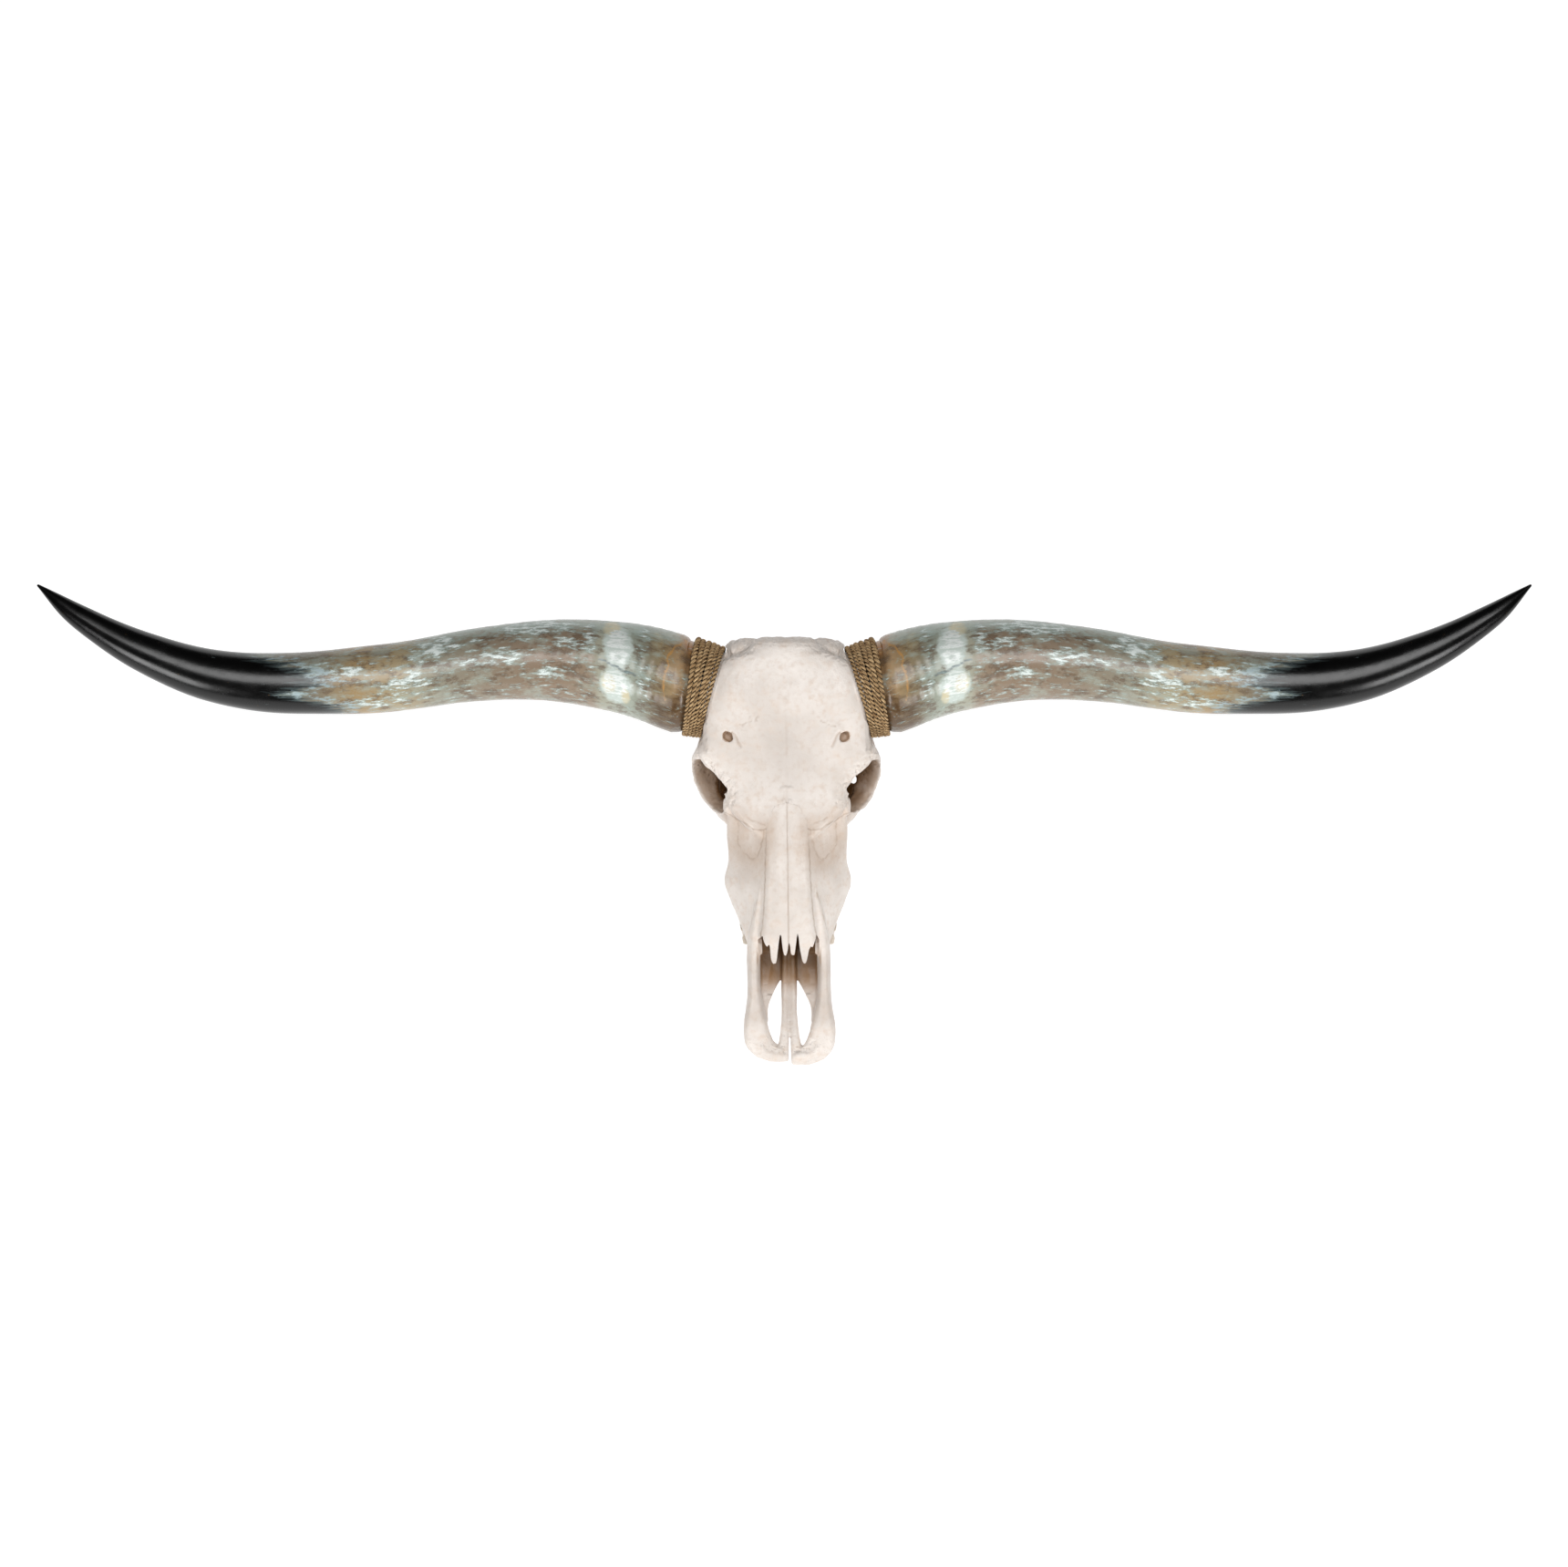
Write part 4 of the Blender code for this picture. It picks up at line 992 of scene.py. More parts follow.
def dress(obj: bpy.types.Object, material: bpy.types.Material, sharp: float = 40.0) -> None:
    """Gives an object one material and smooth shading, with edges over an angle kept sharp."""
    obj.data.materials.clear()
    obj.data.materials.append(material)
    obj.data.shade_smooth()
    obj.data.set_sharp_from_angle(angle=math.radians(sharp))


def hand_over(obj: bpy.types.Object, node: str) -> None:
    """Lets a finished piece stand for a CAD node, and reports it."""
    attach(obj, "root")
    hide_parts(node)
    LOG.info("%s: %d faces", obj.name, len(obj.data.polygons))


# ------------------------------------------------------------------ horn


@dataclass(frozen=True)
class HornShape:
    """The horn's middle line, its thickness, and the neck that the rope is wound on."""

    line: Rows = mm(
        (87, 70, -56), (128, 55.5, -56), (190, 37, -58), (280, 27.5, -57), (370, 33, -50),
        (470, 48.5, -38), (590, 56, -20), (680, 47.5, -3), (760, 19, 12), (830, -20.5, 24),
        (877.8, -58, 33),
    )
    thickness: Rows = (
        (0.0, 0.059), (0.06, 0.0582), (0.15, 0.054), (0.26, 0.0478), (0.38, 0.0425),
        (0.52, 0.0398), (0.66, 0.0342), (0.78, 0.0275), (0.88, 0.019), (0.95, 0.0112),
        (1.0, 0.0012),
    )
    inner: tuple[float, float, float, float] = (-0.0012, 0.0042, 0.05, 0.0036)
    outer: tuple[float, float, float, float] = (0.033, 0.012, 0.0534, 0.0006)
    core_end: float = 0.3
    seat_gap: float = 0.0004
    rope: float = 0.0066

    def curve(self) -> tuple[np.ndarray, np.ndarray, np.ndarray, np.ndarray]:
        """Length along the horn, its line, its heading and its radius at 600 even steps."""
        at = np.arange(len(self.line))
        fine = curve_through(np.column_stack((at, self.line)), np.linspace(0, at[-1], 1200))
        run = lengths(fine)
        along = np.linspace(0.0, run[-1], 600)
        line = read_columns(along, run, fine)
        heading = unit(np.gradient(line, along, axis=0))
        radius = curve_through(self.thickness, along / run[-1])[:, 0]
        return along, line, heading, radius

    def frame_at(self, at: np.ndarray) -> tuple[np.ndarray, np.ndarray, np.ndarray, np.ndarray]:
        """At lengths along the horn: the place on its line, the ways to the poll's side and up,
        square to the line, and the horn's own radius. Before 0 the line runs on straight."""
        along, line, heading, own = self.curve()
        ahead = unit(read_columns(at, along, heading))
        spot = read_columns(at, along, line) + ahead * np.minimum(at, 0.0)[..., None]
        up = unit(np.array((0.0, 0.0, 1.0)) - ahead * ahead[..., 2:])
        poll = np.cross(up, ahead)
        poll = np.where(poll[..., 1:2] > 0, -poll, poll)
        return spot, poll, up, np.interp(at, along, own)

    def rings(
        self, side: Side, rows: np.ndarray, sides: int, raised: np.ndarray | None = None
    ) -> tuple[np.ndarray, np.ndarray]:
        """Rings round the horn's line. A ring leans towards the tip on the poll's side: its length
        along the horn is middle + lean * cos(angle), with the angle counted from the poll's side.

        Args:
            side: which horn.
            rows: middle, lean, radius and shift to the poll's side; a radius under 0 is the own.
            sides: points round a ring.
            raised: how much each point stands out, as (rings, sides).

        Returns:
            The rings as (x, -s, z), and the same points with the horn laid out straight.
        """
        angle = angles(sides)[None, :]
        middle, lean, radius, shift = rows.T[:, :, None]
        at = middle + lean * np.cos(angle)
        spot, poll, up, own = self.frame_at(at)
        reach = np.where(radius < 0, own, radius)
        if raised is not None:
            reach = reach + raised
        across, high = reach * np.cos(angle), reach * np.sin(angle)
        spot = spot + poll * (shift + across)[..., None] + up * high[..., None]
        x, s, z = np.moveaxis(spot, -1, 0)
        return spots(side.value * x, s, z), np.stack((at, across, high), axis=-1)

    def neck(self, share: float, raised: float = 0.0, moved: float = 0.0) -> tuple[float, ...]:
        """A row for a ring on the neck, at a share of the way from its inner to its outer edge."""
        row = np.array(self.inner) + (np.array(self.outer) - self.inner) * share
        return tuple(row + (moved, 0.0, raised, 0.0))

    def seat(self, side: Side) -> bpy.types.Object:
        """The room that the horn, its neck and its rope take up in the bone."""
        rows = (
            self.neck(self.core_end),
            self.neck(0.0, 0.0, -self.seat_gap),
            self.neck(0.0, self.rope + 0.002, -self.seat_gap),
            self.neck(2.2, self.rope + 0.002),
        )
        return solid("seat", self.rings(side, np.array(rows), 72)[0])


@dataclass(frozen=True)
class Horn:
    """One polished horn, from the neck under the rope to the tip."""

    shape: HornShape
    side: Side
    sides: int = 150
    steps: int = 560
    reach: float = HornFinish.reach
    ring_pace: float = 0.011  # from one growth ring to the next
    ring_height: float = 0.00016
    # Milky, creamy and flecked places: metres from the midline, share of the radius towards
    # the poll, half their length and width in the same units, and strength
    milky: Rows = (
        (0.1985, 0.4, 0.0185, 0.54, 1.0),
        (0.202, -0.42, 0.02, 0.4, 1.0),
        (0.437, 0.1, 0.008, 0.7, 0.55),
    )
    creamy: Rows = (
        (0.21, -0.4, 0.01, 0.24, 1.0), (0.19, -0.62, 0.006, 0.16, 1.0),
        (0.206, 0.8, 0.012, 0.2, 0.9), (0.152, 0.7, 0.01, 0.2, 0.6),
        (0.125, 0.25, 0.008, 0.3, 0.5),
    )
    flecks: Rows = (
        (0.415, 0.62, 0.028, 0.3, 1.0), (0.383, 0.08, 0.026, 0.2, 0.8),
        (0.335, 0.1, 0.03, 0.22, 0.9), (0.297, 0.8, 0.052, 0.2, 1.05),
        (0.28, -0.33, 0.02, 0.17, 0.9), (0.262, 0.42, 0.022, 0.16, 0.7),
        (0.232, 0.55, 0.01, 0.4, 0.8), (0.561, 0.38, 0.024, 0.26, 0.85),
        (0.52, 0.25, 0.026, 0.18, 1.05), (0.452, -0.3, 0.032, 0.3, 0.95),
        (0.48, -0.72, 0.032, 0.16, 0.95), (0.585, -0.45, 0.026, 0.18, 0.8),
        (0.437, 0.0, 0.016, 0.8, 0.6), (0.168, -0.25, 0.009, 0.5, 0.62),
        (0.166, 0.6, 0.011, 0.3, 0.58), (0.24, -0.1, 0.02, 0.8, 0.3),
    )
    # Cracks, as metres from the midline and share of the radius towards the poll: grey ones
    # between the milky plates, and one with a raised orange lip at the foot
    slits: tuple[Rows, ...] = (
        ((0.178, -0.14), (0.19, -0.1), (0.202, -0.02), (0.214, 0.06), (0.222, 0.08)),
    )
    lips: tuple[Rows, ...] = (
        ((0.112, 0.95), (0.122, 0.78), (0.13, 0.68), (0.133, 0.62), (0.14, 0.42), (0.138, 0.28)),
        ((0.138, 0.28), (0.143, 0.05), (0.145, -0.2), (0.143, -0.42)),
        ((0.128, 0.72), (0.121, 0.84), (0.115, 0.88)),
    )
    # Where the black starts: share of the radius towards the poll, and metres from the midline
    black: Rows = (
        (-1.1, 0.506), (-0.75, 0.52), (-0.42, 0.57), (-0.15, 0.544), (0.25, 0.548), (0.6, 0.576),
        (0.9, 0.61), (1.1, 0.62),
    )

    def build(self) -> bpy.types.Object:
        """The horn's skin: rings along its line, flared from the neck and rounded at the tip."""
        shape = self.shape
        end = shape.curve()[0][-1]
        middle, lean = shape.outer[0], shape.outer[1]
        gap = shape.seat_gap
        foot = [
            shape.neck(shape.core_end, 0.0, gap),
            shape.neck(0.6, 0.0, gap),
            shape.neck(1.0, 0.0, gap),
            shape.neck(1.0, 0.0016, gap + 0.0016),
            shape.neck(1.0, 0.003, gap + 0.0045),
        ]
        foot.append((middle + 0.012, lean * 0.9, -1.0, 0.0))
        first = middle + 0.0135
        share = np.linspace(0, 1, self.steps) ** 0.96
        body = np.column_stack(
            (
                first + (end - 0.0008 - first) * share,
                lean * 0.88 * (1 - share) ** 6,
                share * 0 - 1,
                share * 0,
            )
        )
        tip = [(end - 0.0003, 0.0, 0.001, 0.0), (end, 0.0, 0.0005, 0.0)]
        rows = np.concatenate((foot, body, tip))
        straight = shape.rings(self.side, rows, self.sides)[1]
        rings, straight = shape.rings(self.side, rows, self.sides, self.relief(straight, end))
        points, faces = closed_tube(rings)
        obj = new_object("horn_" + self.side.word + "_sheath", REST.place(points), faces)
        flat = with_ends(straight)
        set_attribute(obj.data, "straight", flat)
        self.mark(obj.data, points, flat)
        return obj

    def relief(self, straight: np.ndarray, end: float) -> np.ndarray:
        """How far the skin stands out: long swells, growth rings near the foot that fade along
        the horn, and nothing on the neck and the tip."""
        flat = straight.reshape(-1, 3)
        along = flat[:, 0]
        swell = 0.0007 * noise(flat, (0.06, 0.04, 0.04), 81)
        sway = 0.01 * noise(flat, (0.08, 0.06, 0.06), 82)
        rings = np.sin((along + sway) * math.tau / self.ring_pace)
        rings = rings * self.ring_height * fall(0.05, 0.22, along)
        rough = 0.00025 * noise(flat, (0.01, 0.005, 0.005), 83) * fall(0.25, 0.5, along)
        fade = step(0.052, 0.068, along) * fall(0.75, 0.95, along / end)
        return ((swell + rings + rough) * fade).reshape(straight.shape[:2])

    def mark(self, mesh: bpy.types.Mesh, points: np.ndarray, straight: np.ndarray) -> None:
        """Writes where the horn is milky, flecked, brown, stained and black, with painted shade as brown
        beside the rope and as black on the neck under it.

        Args:
            mesh: the horn's mesh.
            points: its points in the skull's frame.
            straight: the points with the horn laid out straight.
        """
        reach = np.abs(points[:, 0])
        radius = np.maximum(np.hypot(straight[:, 1], straight[:, 2]), 1e-4)
        across = straight[:, 1] / radius
        places = {"pale": self.milky, "cream": self.creamy, "fleck": self.flecks}
        for name, patches in places.items():
            level = np.zeros(len(points))
            for x, share, length, width, strength in patches:
                away = np.hypot((reach - x) / length, (across - share) / width)
                level = np.maximum(level, strength * fall(0.5, 1.5, away))
            if name == "fleck":
                level = level - 2.0 * fall(0.145, 0.162, reach)
                level = np.maximum(level, 0.25 * step(0.22, 0.24, reach) * fall(0.5, 0.6, reach))
            set_attribute(mesh, name, level)
        plan = np.column_stack((reach, 0.054 * across))
        above = straight[:, 2] > 0
        for name, lines, width in (("slit", self.slits, 0.0014), ("ridge", self.lips, 0.0013)):
            level = np.zeros(len(points))
            for k, line in enumerate(lines):
                path = wavy([(x, 0.054 * share) for x, share in line], 0.003, 0.0014, 96 + k)
                level = np.maximum(level, bell(distance_to(plan, path), width))
            set_attribute(mesh, name, level * above)
        start = curve_through(self.black, across)[:, 0]
        neck = self.shape.outer[0] + self.shape.outer[1] * across - straight[:, 0]
        shade = np.clip((reach - start) / 0.04, -1.5, 3.0)
        # Brown on the side away from the poll, and as painted shade in a band beside the rope
        low = fall(-0.6, 0.1, across) * 0.75 + fall(0.112, 0.135, reach) * 0.45
        levels = {
            # Black of the tip, and painted shade: the neck under the rope black, so the gaps between turns
            # read dark
            "dark": np.where(neck > 0.0015, 3.0, shade),
            "rim": bell(reach - start, 0.03),
            "foot": fall(0.112, 0.142, reach) * step(0.3, 0.9, across),
            "brown": fall(0.15, 0.178, reach) * low,
            "crest": step(0.45, 0.95, across) * fall(0.4, 0.5, reach),
            "reach": reach / self.reach,
        }
        for name, level in levels.items():
            set_attribute(mesh, name, level)


@dataclass(frozen=True)
class RopeWrap:
    """Two-strand rope wound side by side round the neck of a horn, pressed where turns crowd."""

    shape: HornShape
    side: Side
    turns: int = 6
    plies: int = 2
    lay: float = 0.012  # length of rope in which a strand goes once round it
    thickest: float = 0.0037  # the rope's own radius, where its turns have room
    rows: int = 2400
    sides: int = 12
    hairs: int = 120
    start: float = -1.5  # angle from the poll's side at which the rope begins

    def middle_line(self) -> tuple[np.ndarray, np.ndarray]:
        """The rope's middle and the way out from the horn: a helix on the slanted neck, whose
        turns lie closer where the neck is short, and sag and crowd a little."""
        shape = self.shape
        t = np.linspace(0, 1, self.rows)
        angle = math.tau * self.turns * t + self.start
        place = np.column_stack((t * 40, t * 0, t * 0))
        half = 0.5 / self.turns
        drift = 0.014 * noise(place, 1.0, 91) * step(0, 0.1, t) * step(0, 0.1, 1 - t)
        share = half + (1 - 2 * half) * t + drift
        middle, lean, radius, shift = (
            np.array(shape.inner)[:, None] + (np.array(shape.outer) - shape.inner)[:, None] * share
        )
        spot, poll, up, _ = shape.frame_at(middle + lean * np.cos(angle))
        out = poll * np.cos(angle)[:, None] + up * np.sin(angle)[:, None]
        stand = radius + shape.rope / 2 + 0.0003 + 0.0004 * noise(place, 1.3, 92)
        path = spot + poll * shift[:, None] + out * stand[:, None]
        mirror = (self.side.value, -1, 1)
        return path * mirror, out * mirror

    def build(self) -> bpy.types.Object:
        """Tubes that twist about the rope's middle, and short hairs that stand off them. The
        rope is as thick as the distance to the next turn lets it be."""
        path, out = self.middle_line()
        run = lengths(path)
        turn_rows = self.rows // self.turns
        apart = np.linalg.norm(path[turn_rows:] - path[:-turn_rows], axis=1)
        apart = np.concatenate((apart, apart[-turn_rows:]))
        place = np.column_stack((run, run * 0, run * 0))
        thick = np.clip(0.56 * apart, 0.0025, self.thickest) * (1 + 0.05 * noise(place, 0.012, 93))
        thick = thick[:, None]
        strand, spread = 0.51 * thick, 0.5 * thick
        uneven = 0.35 * noise(place, 0.02, 94)
        tangent = unit(np.gradient(path, axis=0))
        out = square_to(tangent, out)
        beside = np.cross(tangent, out)
        ring = angles(self.sides)
        clay = Clay()
        strands, painted_light = [], []
        for k in range(self.plies):
            twist = -self.side.value * math.tau * run / self.lay + math.tau * k / self.plies + uneven
            off = out * np.cos(twist)[:, None] + beside * np.sin(twist)[:, None]
            centre = path + off * spread
            ahead = unit(np.gradient(centre, axis=0))
            off = square_to(ahead, off)
            edge = np.cross(ahead, off)
            turn = ring[None, :] - 0.8 * twist[:, None]
            rings = centre[:, None] + strand[:, None] * (
                off[:, None] * np.cos(turn)[..., None] + edge[:, None] * np.sin(turn)[..., None]
            )
            clay.add(rings)
            fibre = np.broadcast_arrays(run[:, None] + 3.0 * k, np.cos(ring)[None], np.sin(ring)[None])
            strands.append(with_ends(np.stack(fibre, axis=-1) * (1.0, 0.0014, 0.0014)))
            away = rings - path[:, None]
            lift = np.einsum("ijk,ik->ij", away, out) / (spread + strand)
            away = np.linalg.norm(away, axis=2) / (spread + strand)
            # Painted light and shade: lit on the crests that face out, dark between strands and towards
            # the horn
            lit = step(0.4, 0.92, away) * step(-0.1, 0.62, lift)
            painted_light.append(np.concatenate((lit.ravel(), (1.0, 1.0))))
        self.add_hairs(clay, strands, painted_light, path + out * thick, out, tangent)
        obj = clay.to_object("rope_wrap_" + self.side.word + "_strands")
        set_points(obj.data, REST.place(points_of(obj.data)))
        set_attribute(obj.data, "strand", np.concatenate(strands))
        # deep is painted shade: one less the painted light
        set_attribute(obj.data, "deep", 1 - np.concatenate(painted_light))
        return obj

    def add_hairs(
        self,
        clay: Clay,
        strands: list,
        painted_light: list,
        path: np.ndarray,
        out: np.ndarray,
        tangent: np.ndarray,
    ) -> None:
        """Adds stray fibres: thin three-sided tubes that leave the rope, bend and taper.

        Args:
            clay: takes their shapes.
            strands: takes their places along and across a strand.
            painted_light: takes how lit they are painted.
            path: the rope's outer side.
            out: the way out from the horn at each of its points.
            tangent: the rope's heading there.
        """
        draw = np.random.default_rng(95)
        corner = angles(3)[None, :, None]
        u = np.linspace(0, 1, 6)[:, None]
        for root in draw.integers(20, len(path) - 20, self.hairs):
            ahead, up = tangent[root], out[root]
            beside = np.cross(ahead, up)
            lie = unit(ahead * draw.choice((-1.0, 1.0)) + beside * draw.uniform(-0.7, 0.7))
            long = draw.uniform(0.004, 0.01)
            base = path[root] - up * 0.0004
            line = base + lie * long * u + up * long * draw.uniform(0.1, 0.32) * u * u
            thick = 0.00013 * (1 - 0.8 * u)[..., None]
            side = unit(np.cross(lie, up))
            over = np.cross(side, lie)
            rings = line[:, None] + thick * (side * np.cos(corner) + over * np.sin(corner))
            clay.add(rings)
            count = len(u) * 3 + 2
            strands.append(np.tile((draw.uniform(0, 9), 0.0, 0.0), (count, 1)))
            painted_light.append(np.ones(count))


# ------------------------------------------------------------------ bone


@dataclass(frozen=True)
class Orbit:
    """The eye socket: a thin-walled cup that opens to the side, tipped forward and upward."""

    x: float = 0.0925
    s: float = 0.178
    z: float = -0.047
    forward: float = math.radians(26.0)
    upward: float = math.radians(24.0)
    outside: Rows = mm((-34, 26), (-22, 33.5), (-10, 37), (-2, 38.2), (1, 37.2))
    inside: Rows = mm((16, 39), (2, 35.8), (-6, 34), (-22, 30), (-40, 24.5), (-54, 18), (-62, 7))

    def turn(self, side: Side) -> tuple[np.ndarray, np.ndarray]:
        """The cup's centre, and the turn that points its z axis out of the socket."""
        level = math.cos(self.upward)
        x, y = side.value * math.cos(self.forward) * level, -math.sin(self.forward) * level
        out = Vector((x, y, math.sin(self.upward)))
        centre = spots(side.value * self.x, self.s, self.z)
        return centre, np.array(out.to_track_quat("Z", "Y").to_matrix())

    def rings(self, side: Side, profile: Rows) -> np.ndarray:
        """Rings round the cup's axis, from rows of depth along it and radius."""
        centre, turn = self.turn(side)
        depth, radius = smooth(profile, 6).T[:, :, None]
        angle = angles(72)[None, :]
        rings = np.stack((radius * np.cos(angle), radius * np.sin(angle), depth + 0 * angle), axis=-1)
        return rings @ turn.T + centre

    def local(self, side: Side, points: np.ndarray) -> tuple[np.ndarray, np.ndarray]:
        """For each point, its depth along the cup's axis and its distance from that axis."""
        centre, turn = self.turn(side)
        near = (points - centre) @ turn
        return near[:, 2], np.linalg.norm(near[:, :2], axis=1)


@dataclass(frozen=True)
class BoneMarks:
    """Lines and spots on the skin of the bone, read off the photograph's left half as x and s.
    The right half mirrors them."""

    lacrimal_spur: Rows = seen((819.5, 897), (829, 901.5), (839, 905))
    tear_loop: Rows = seen(
        (809, 903), (809, 927), (817, 937), (826, 944.5), (831.8, 937), (835.5, 925), (838, 912)
    )
    brow_fold: Rows = seen((803, 803), (806.5, 806.5), (809, 812), (812, 818.5))
    brow_rim: Rows = seen((762, 830), (776, 841), (791, 856), (797.5, 867.5), (800, 876))
    brow_crack: Rows = seen((808, 797), (815, 795.5), (824, 791))
    wrinkles: Rows = seen((805, 790), (817, 795), (830, 788))
    nose_knob: Rows = seen((858, 865), (862, 865))
    nose_knob_low: Rows = seen((860, 879), (862, 883))
    plate_ridge: Rows = seen((836, 1152), (840, 1158), (848, 1160.5), (859, 1161))
    plate_pits: Rows = seen((845, 1151), (857, 1154))
    bump: Rows = seen((804, 716), (822, 708))
    bump_pores: Rows = seen((804, 706), (811, 703.5), (819, 707))

    def gap(self, points: np.ndarray, path: Rows) -> np.ndarray:
        """The distance in plan from each point, or its mirrored one, to a path on the left."""
        half = np.column_stack((-np.abs(points[:, 0]), -points[:, 1]))
        return distance_to(half, path)

    def seams(self, points: np.ndarray) -> np.ndarray:
        """Distance in plan to the nearest of the fine lines where bones of the face have grown
        together, each wavering as a suture does."""
        lines = (self.lacrimal_spur, self.tear_loop, self.brow_crack)
        gaps = [self.gap(points, wavy(line, 0.0012, 0.0016, 61 + k)) for k, line in enumerate(lines)]
        return np.min(gaps, axis=0)


class Skin:
    """The points of a bone's mesh in the skull's frame, and the ways out of its skin."""

    def __init__(self, mesh: bpy.types.Mesh) -> None:
        """Reads a mesh."""
        self.points, self.normals = points_of(mesh), normals_of(mesh)
        self.x, self.s, self.z = self.points[:, 0], -self.points[:, 1], self.points[:, 2]
        self.aside = np.abs(self.x)
        self.top = step(0.1, 0.5, self.normals[:, 2])  # how far it faces up


@dataclass(frozen=True)
class Skull:
    """The bone: one skin of fused clay, hollowed, given its relief, and parted at its sutures."""

    horn: HornShape
    orbit: Orbit = Orbit()
    marks: BoneMarks = BoneMarks()
    voxel: float = 0.0013
    suture: float = 0.00012
    jaw_path: Rows = mm((262, 10), (283, -6), (338, -16), (378, -30), (425, -72), (445, -100))
    most_faces: int = 190000
    # Three points and the radius, in millimetres, of the hole in the forehead with a nick on
    # either side, of that above the first cheek tooth, and of that at the ear
    nerve_holes: tuple[tuple, ...] = (
        ((69, 119.3, 20), (69, 119.6, -4), (68.2, 120.5, -11), 5.4),
        ((72.2, 115.5, 20), (71.8, 116, -2), (71.2, 116.5, -7), 2.6),
        ((67.5, 122.2, 20), (67.5, 122.2, -4), (67.5, 122.2, -10), 4.2),
        ((70, 356, -78), (54, 345, -79), (42, 330, -80), 5),
        ((92, 74.5, -117), (74, 79.5, -120), (60, 83, -122), 5),
    )

    def forehead(self, clay: Clay) -> None:
        """The frontal bones: a broad, thick shield from the poll to the root of the nose."""
        outline = (
            (0.0, 0.0), (0.3, 0.0), (0.6, 0.02), (0.8, 0.055), (0.92, 0.13), (0.99, 0.27),
            (1.0, 0.44), (0.95, 0.64), (0.84, 0.84), (0.6, 1.0), (0.3, 1.0), (0.0, 1.0),
        )
        rows = mm(
            (1, 30, -15, -58), (5, 37, -7, -68), (12, 44, -2, -78), (19, 53, 0, -83),
            (25, 68, 1, -85), (35, 83, 2, -85), (50, 91.5, 3, -82), (75, 97, 4, -72),
            (100, 98.5, 2, -56), (122, 99, -1, -46), (140, 104.5, -4, -40), (153, 98, -6, -38),
            (168, 84, -7, -38), (184, 74, -7, -38), (204, 69, -6, -40), (222, 54, -6, -42),
            (240, 34, -6, -42),
        )
        clay.add(outline_rings(rows, outline, count=110))

    def face(self, clay: Clay) -> None:
        """The upper jaws: sections that widen from the nasal roof to the cheek, then draw in to
        the sockets of the teeth."""
        rows = mm(
            (200, 36, -6, 69, -34, 46, -98), (218, 33, -5, 71.5, -42, 60, -124),
            (236, 29, -4, 72, -56, 66, -134), (268, 27, -2, 71, -69, 66, -126),
            (295, 28, -1, 76, -73, 65, -119), (316, 29, -1, 69, -72, 62, -113),
            (340, 30, -2, 59, -68, 58, -107), (360, 31, -4, 52, -62, 55, -102),
            (371, 31, -7, 48, -58, 50, -98), (379, 31, -12, 45, -55, 43, -92),
        )
        s = np.linspace(rows[0][0], rows[-1][0], 90)
        roof, roof_z, cheek, cheek_z, root, root_z = curve_through(rows, s).T
        none = roof * 0
        half = np.stack(
            (
                (none, roof_z),
                (roof * 0.6, roof_z - 0.001),
                (roof, roof_z - 0.005),
                ((roof + cheek) / 2, (roof_z + cheek_z) / 2 + 0.004),
                (cheek * 0.97, cheek_z + 0.012),
                (cheek, cheek_z),
                (cheek * 0.96, cheek_z - 0.01),
                (root, root_z + 0.012),
                (root - 0.003, root_z),
                (root - 0.024, root_z),
                (root - 0.03, root_z + 0.016),
                (none, root_z + 0.024),
            )
        )
        x, z = both_halves(smooth(half[:, 0], 5).T, smooth(half[:, 1], 5).T)
        clay.add(spots(x, s[:, None], z))

    def nose_roof(self, clay: Clay) -> None:
        """The front of the nasal bones, which reach beyond the upper jaws as a thin roof."""
        rows = mm(
            (330, 31, -2, -11),
            (360, 32.2, -5, -14),
            (398, 30, -11, -19),
        )
        outline = (
            (0.0, 0.0), (0.4, 0.05), (0.8, 0.25), (1.0, 0.7), (0.98, 1.0), (0.7, 0.85),
            (0.4, 0.75), (0.0, 0.7),
        )
        clay.add(outline_rings(rows, outline))

    def nape(self, clay: Clay) -> None:
        """A broad upright plate below the poll, from ear to ear: squarish ovals, level by level."""
        rows = np.array(
            mm(
                (-16, 52, 6, 60), (-40, 70, 6, 64), (-66, 86, 10, 62), (-92, 93, 16, 62),
                (-116, 88, 22, 64), (-136, 70, 26, 66), (-154, 50, 28, 68), (-166, 30, 34, 64),
            )
        )
        z = np.linspace(rows[0, 0], rows[-1, 0], 50)
        wide, back, front = curve_through(rows[::-1], z[::-1])[::-1].T[:, :, None]
        angle = angles(72)[None, :]
        across, deep = squared(np.cos(angle), 0.8), squared(np.sin(angle), 0.6)
        clay.add(spots(wide * across, (back + front) / 2 + (front - back) / 2 * deep, z[:, None]))

    def base(self, clay: Clay) -> None:
        """The braincase, the narrow body between the orbits, and the base with its condyles."""
        clay.ball(Side.RIGHT, (0, 86, -92), (56, 72, 56))
        body = mm(
            (100, 46, -30, -140), (135, 36, -25, -134), (170, 30, -20, -126), (205, 30, -20, -122),
            (245, 36, -20, -112),
        )
        clay.add(oval_rings(centred(body), 2.6))
        keel = ((0, 30, -158), (0, 65, -156), (0, 105, -146), (0, 150, -128))
        clay.tube(Side.RIGHT, keel, ((21, 12), (19, 13), (15, 14), (14, 14)))
        for side in Side:
            # Occipital condyle, beside the great foramen
            clay.ball(side, (29, 30, -150), (18, 27, 23), (20, 0, -20))
            # Hind corner between the poll and the horn's core
            line = ((28, 13, -36), (50, 15.5, -37), (66, 24.5, -45))
            clay.tube(side, line, ((10, 12), (13.5, 20), (12.5, 22)))
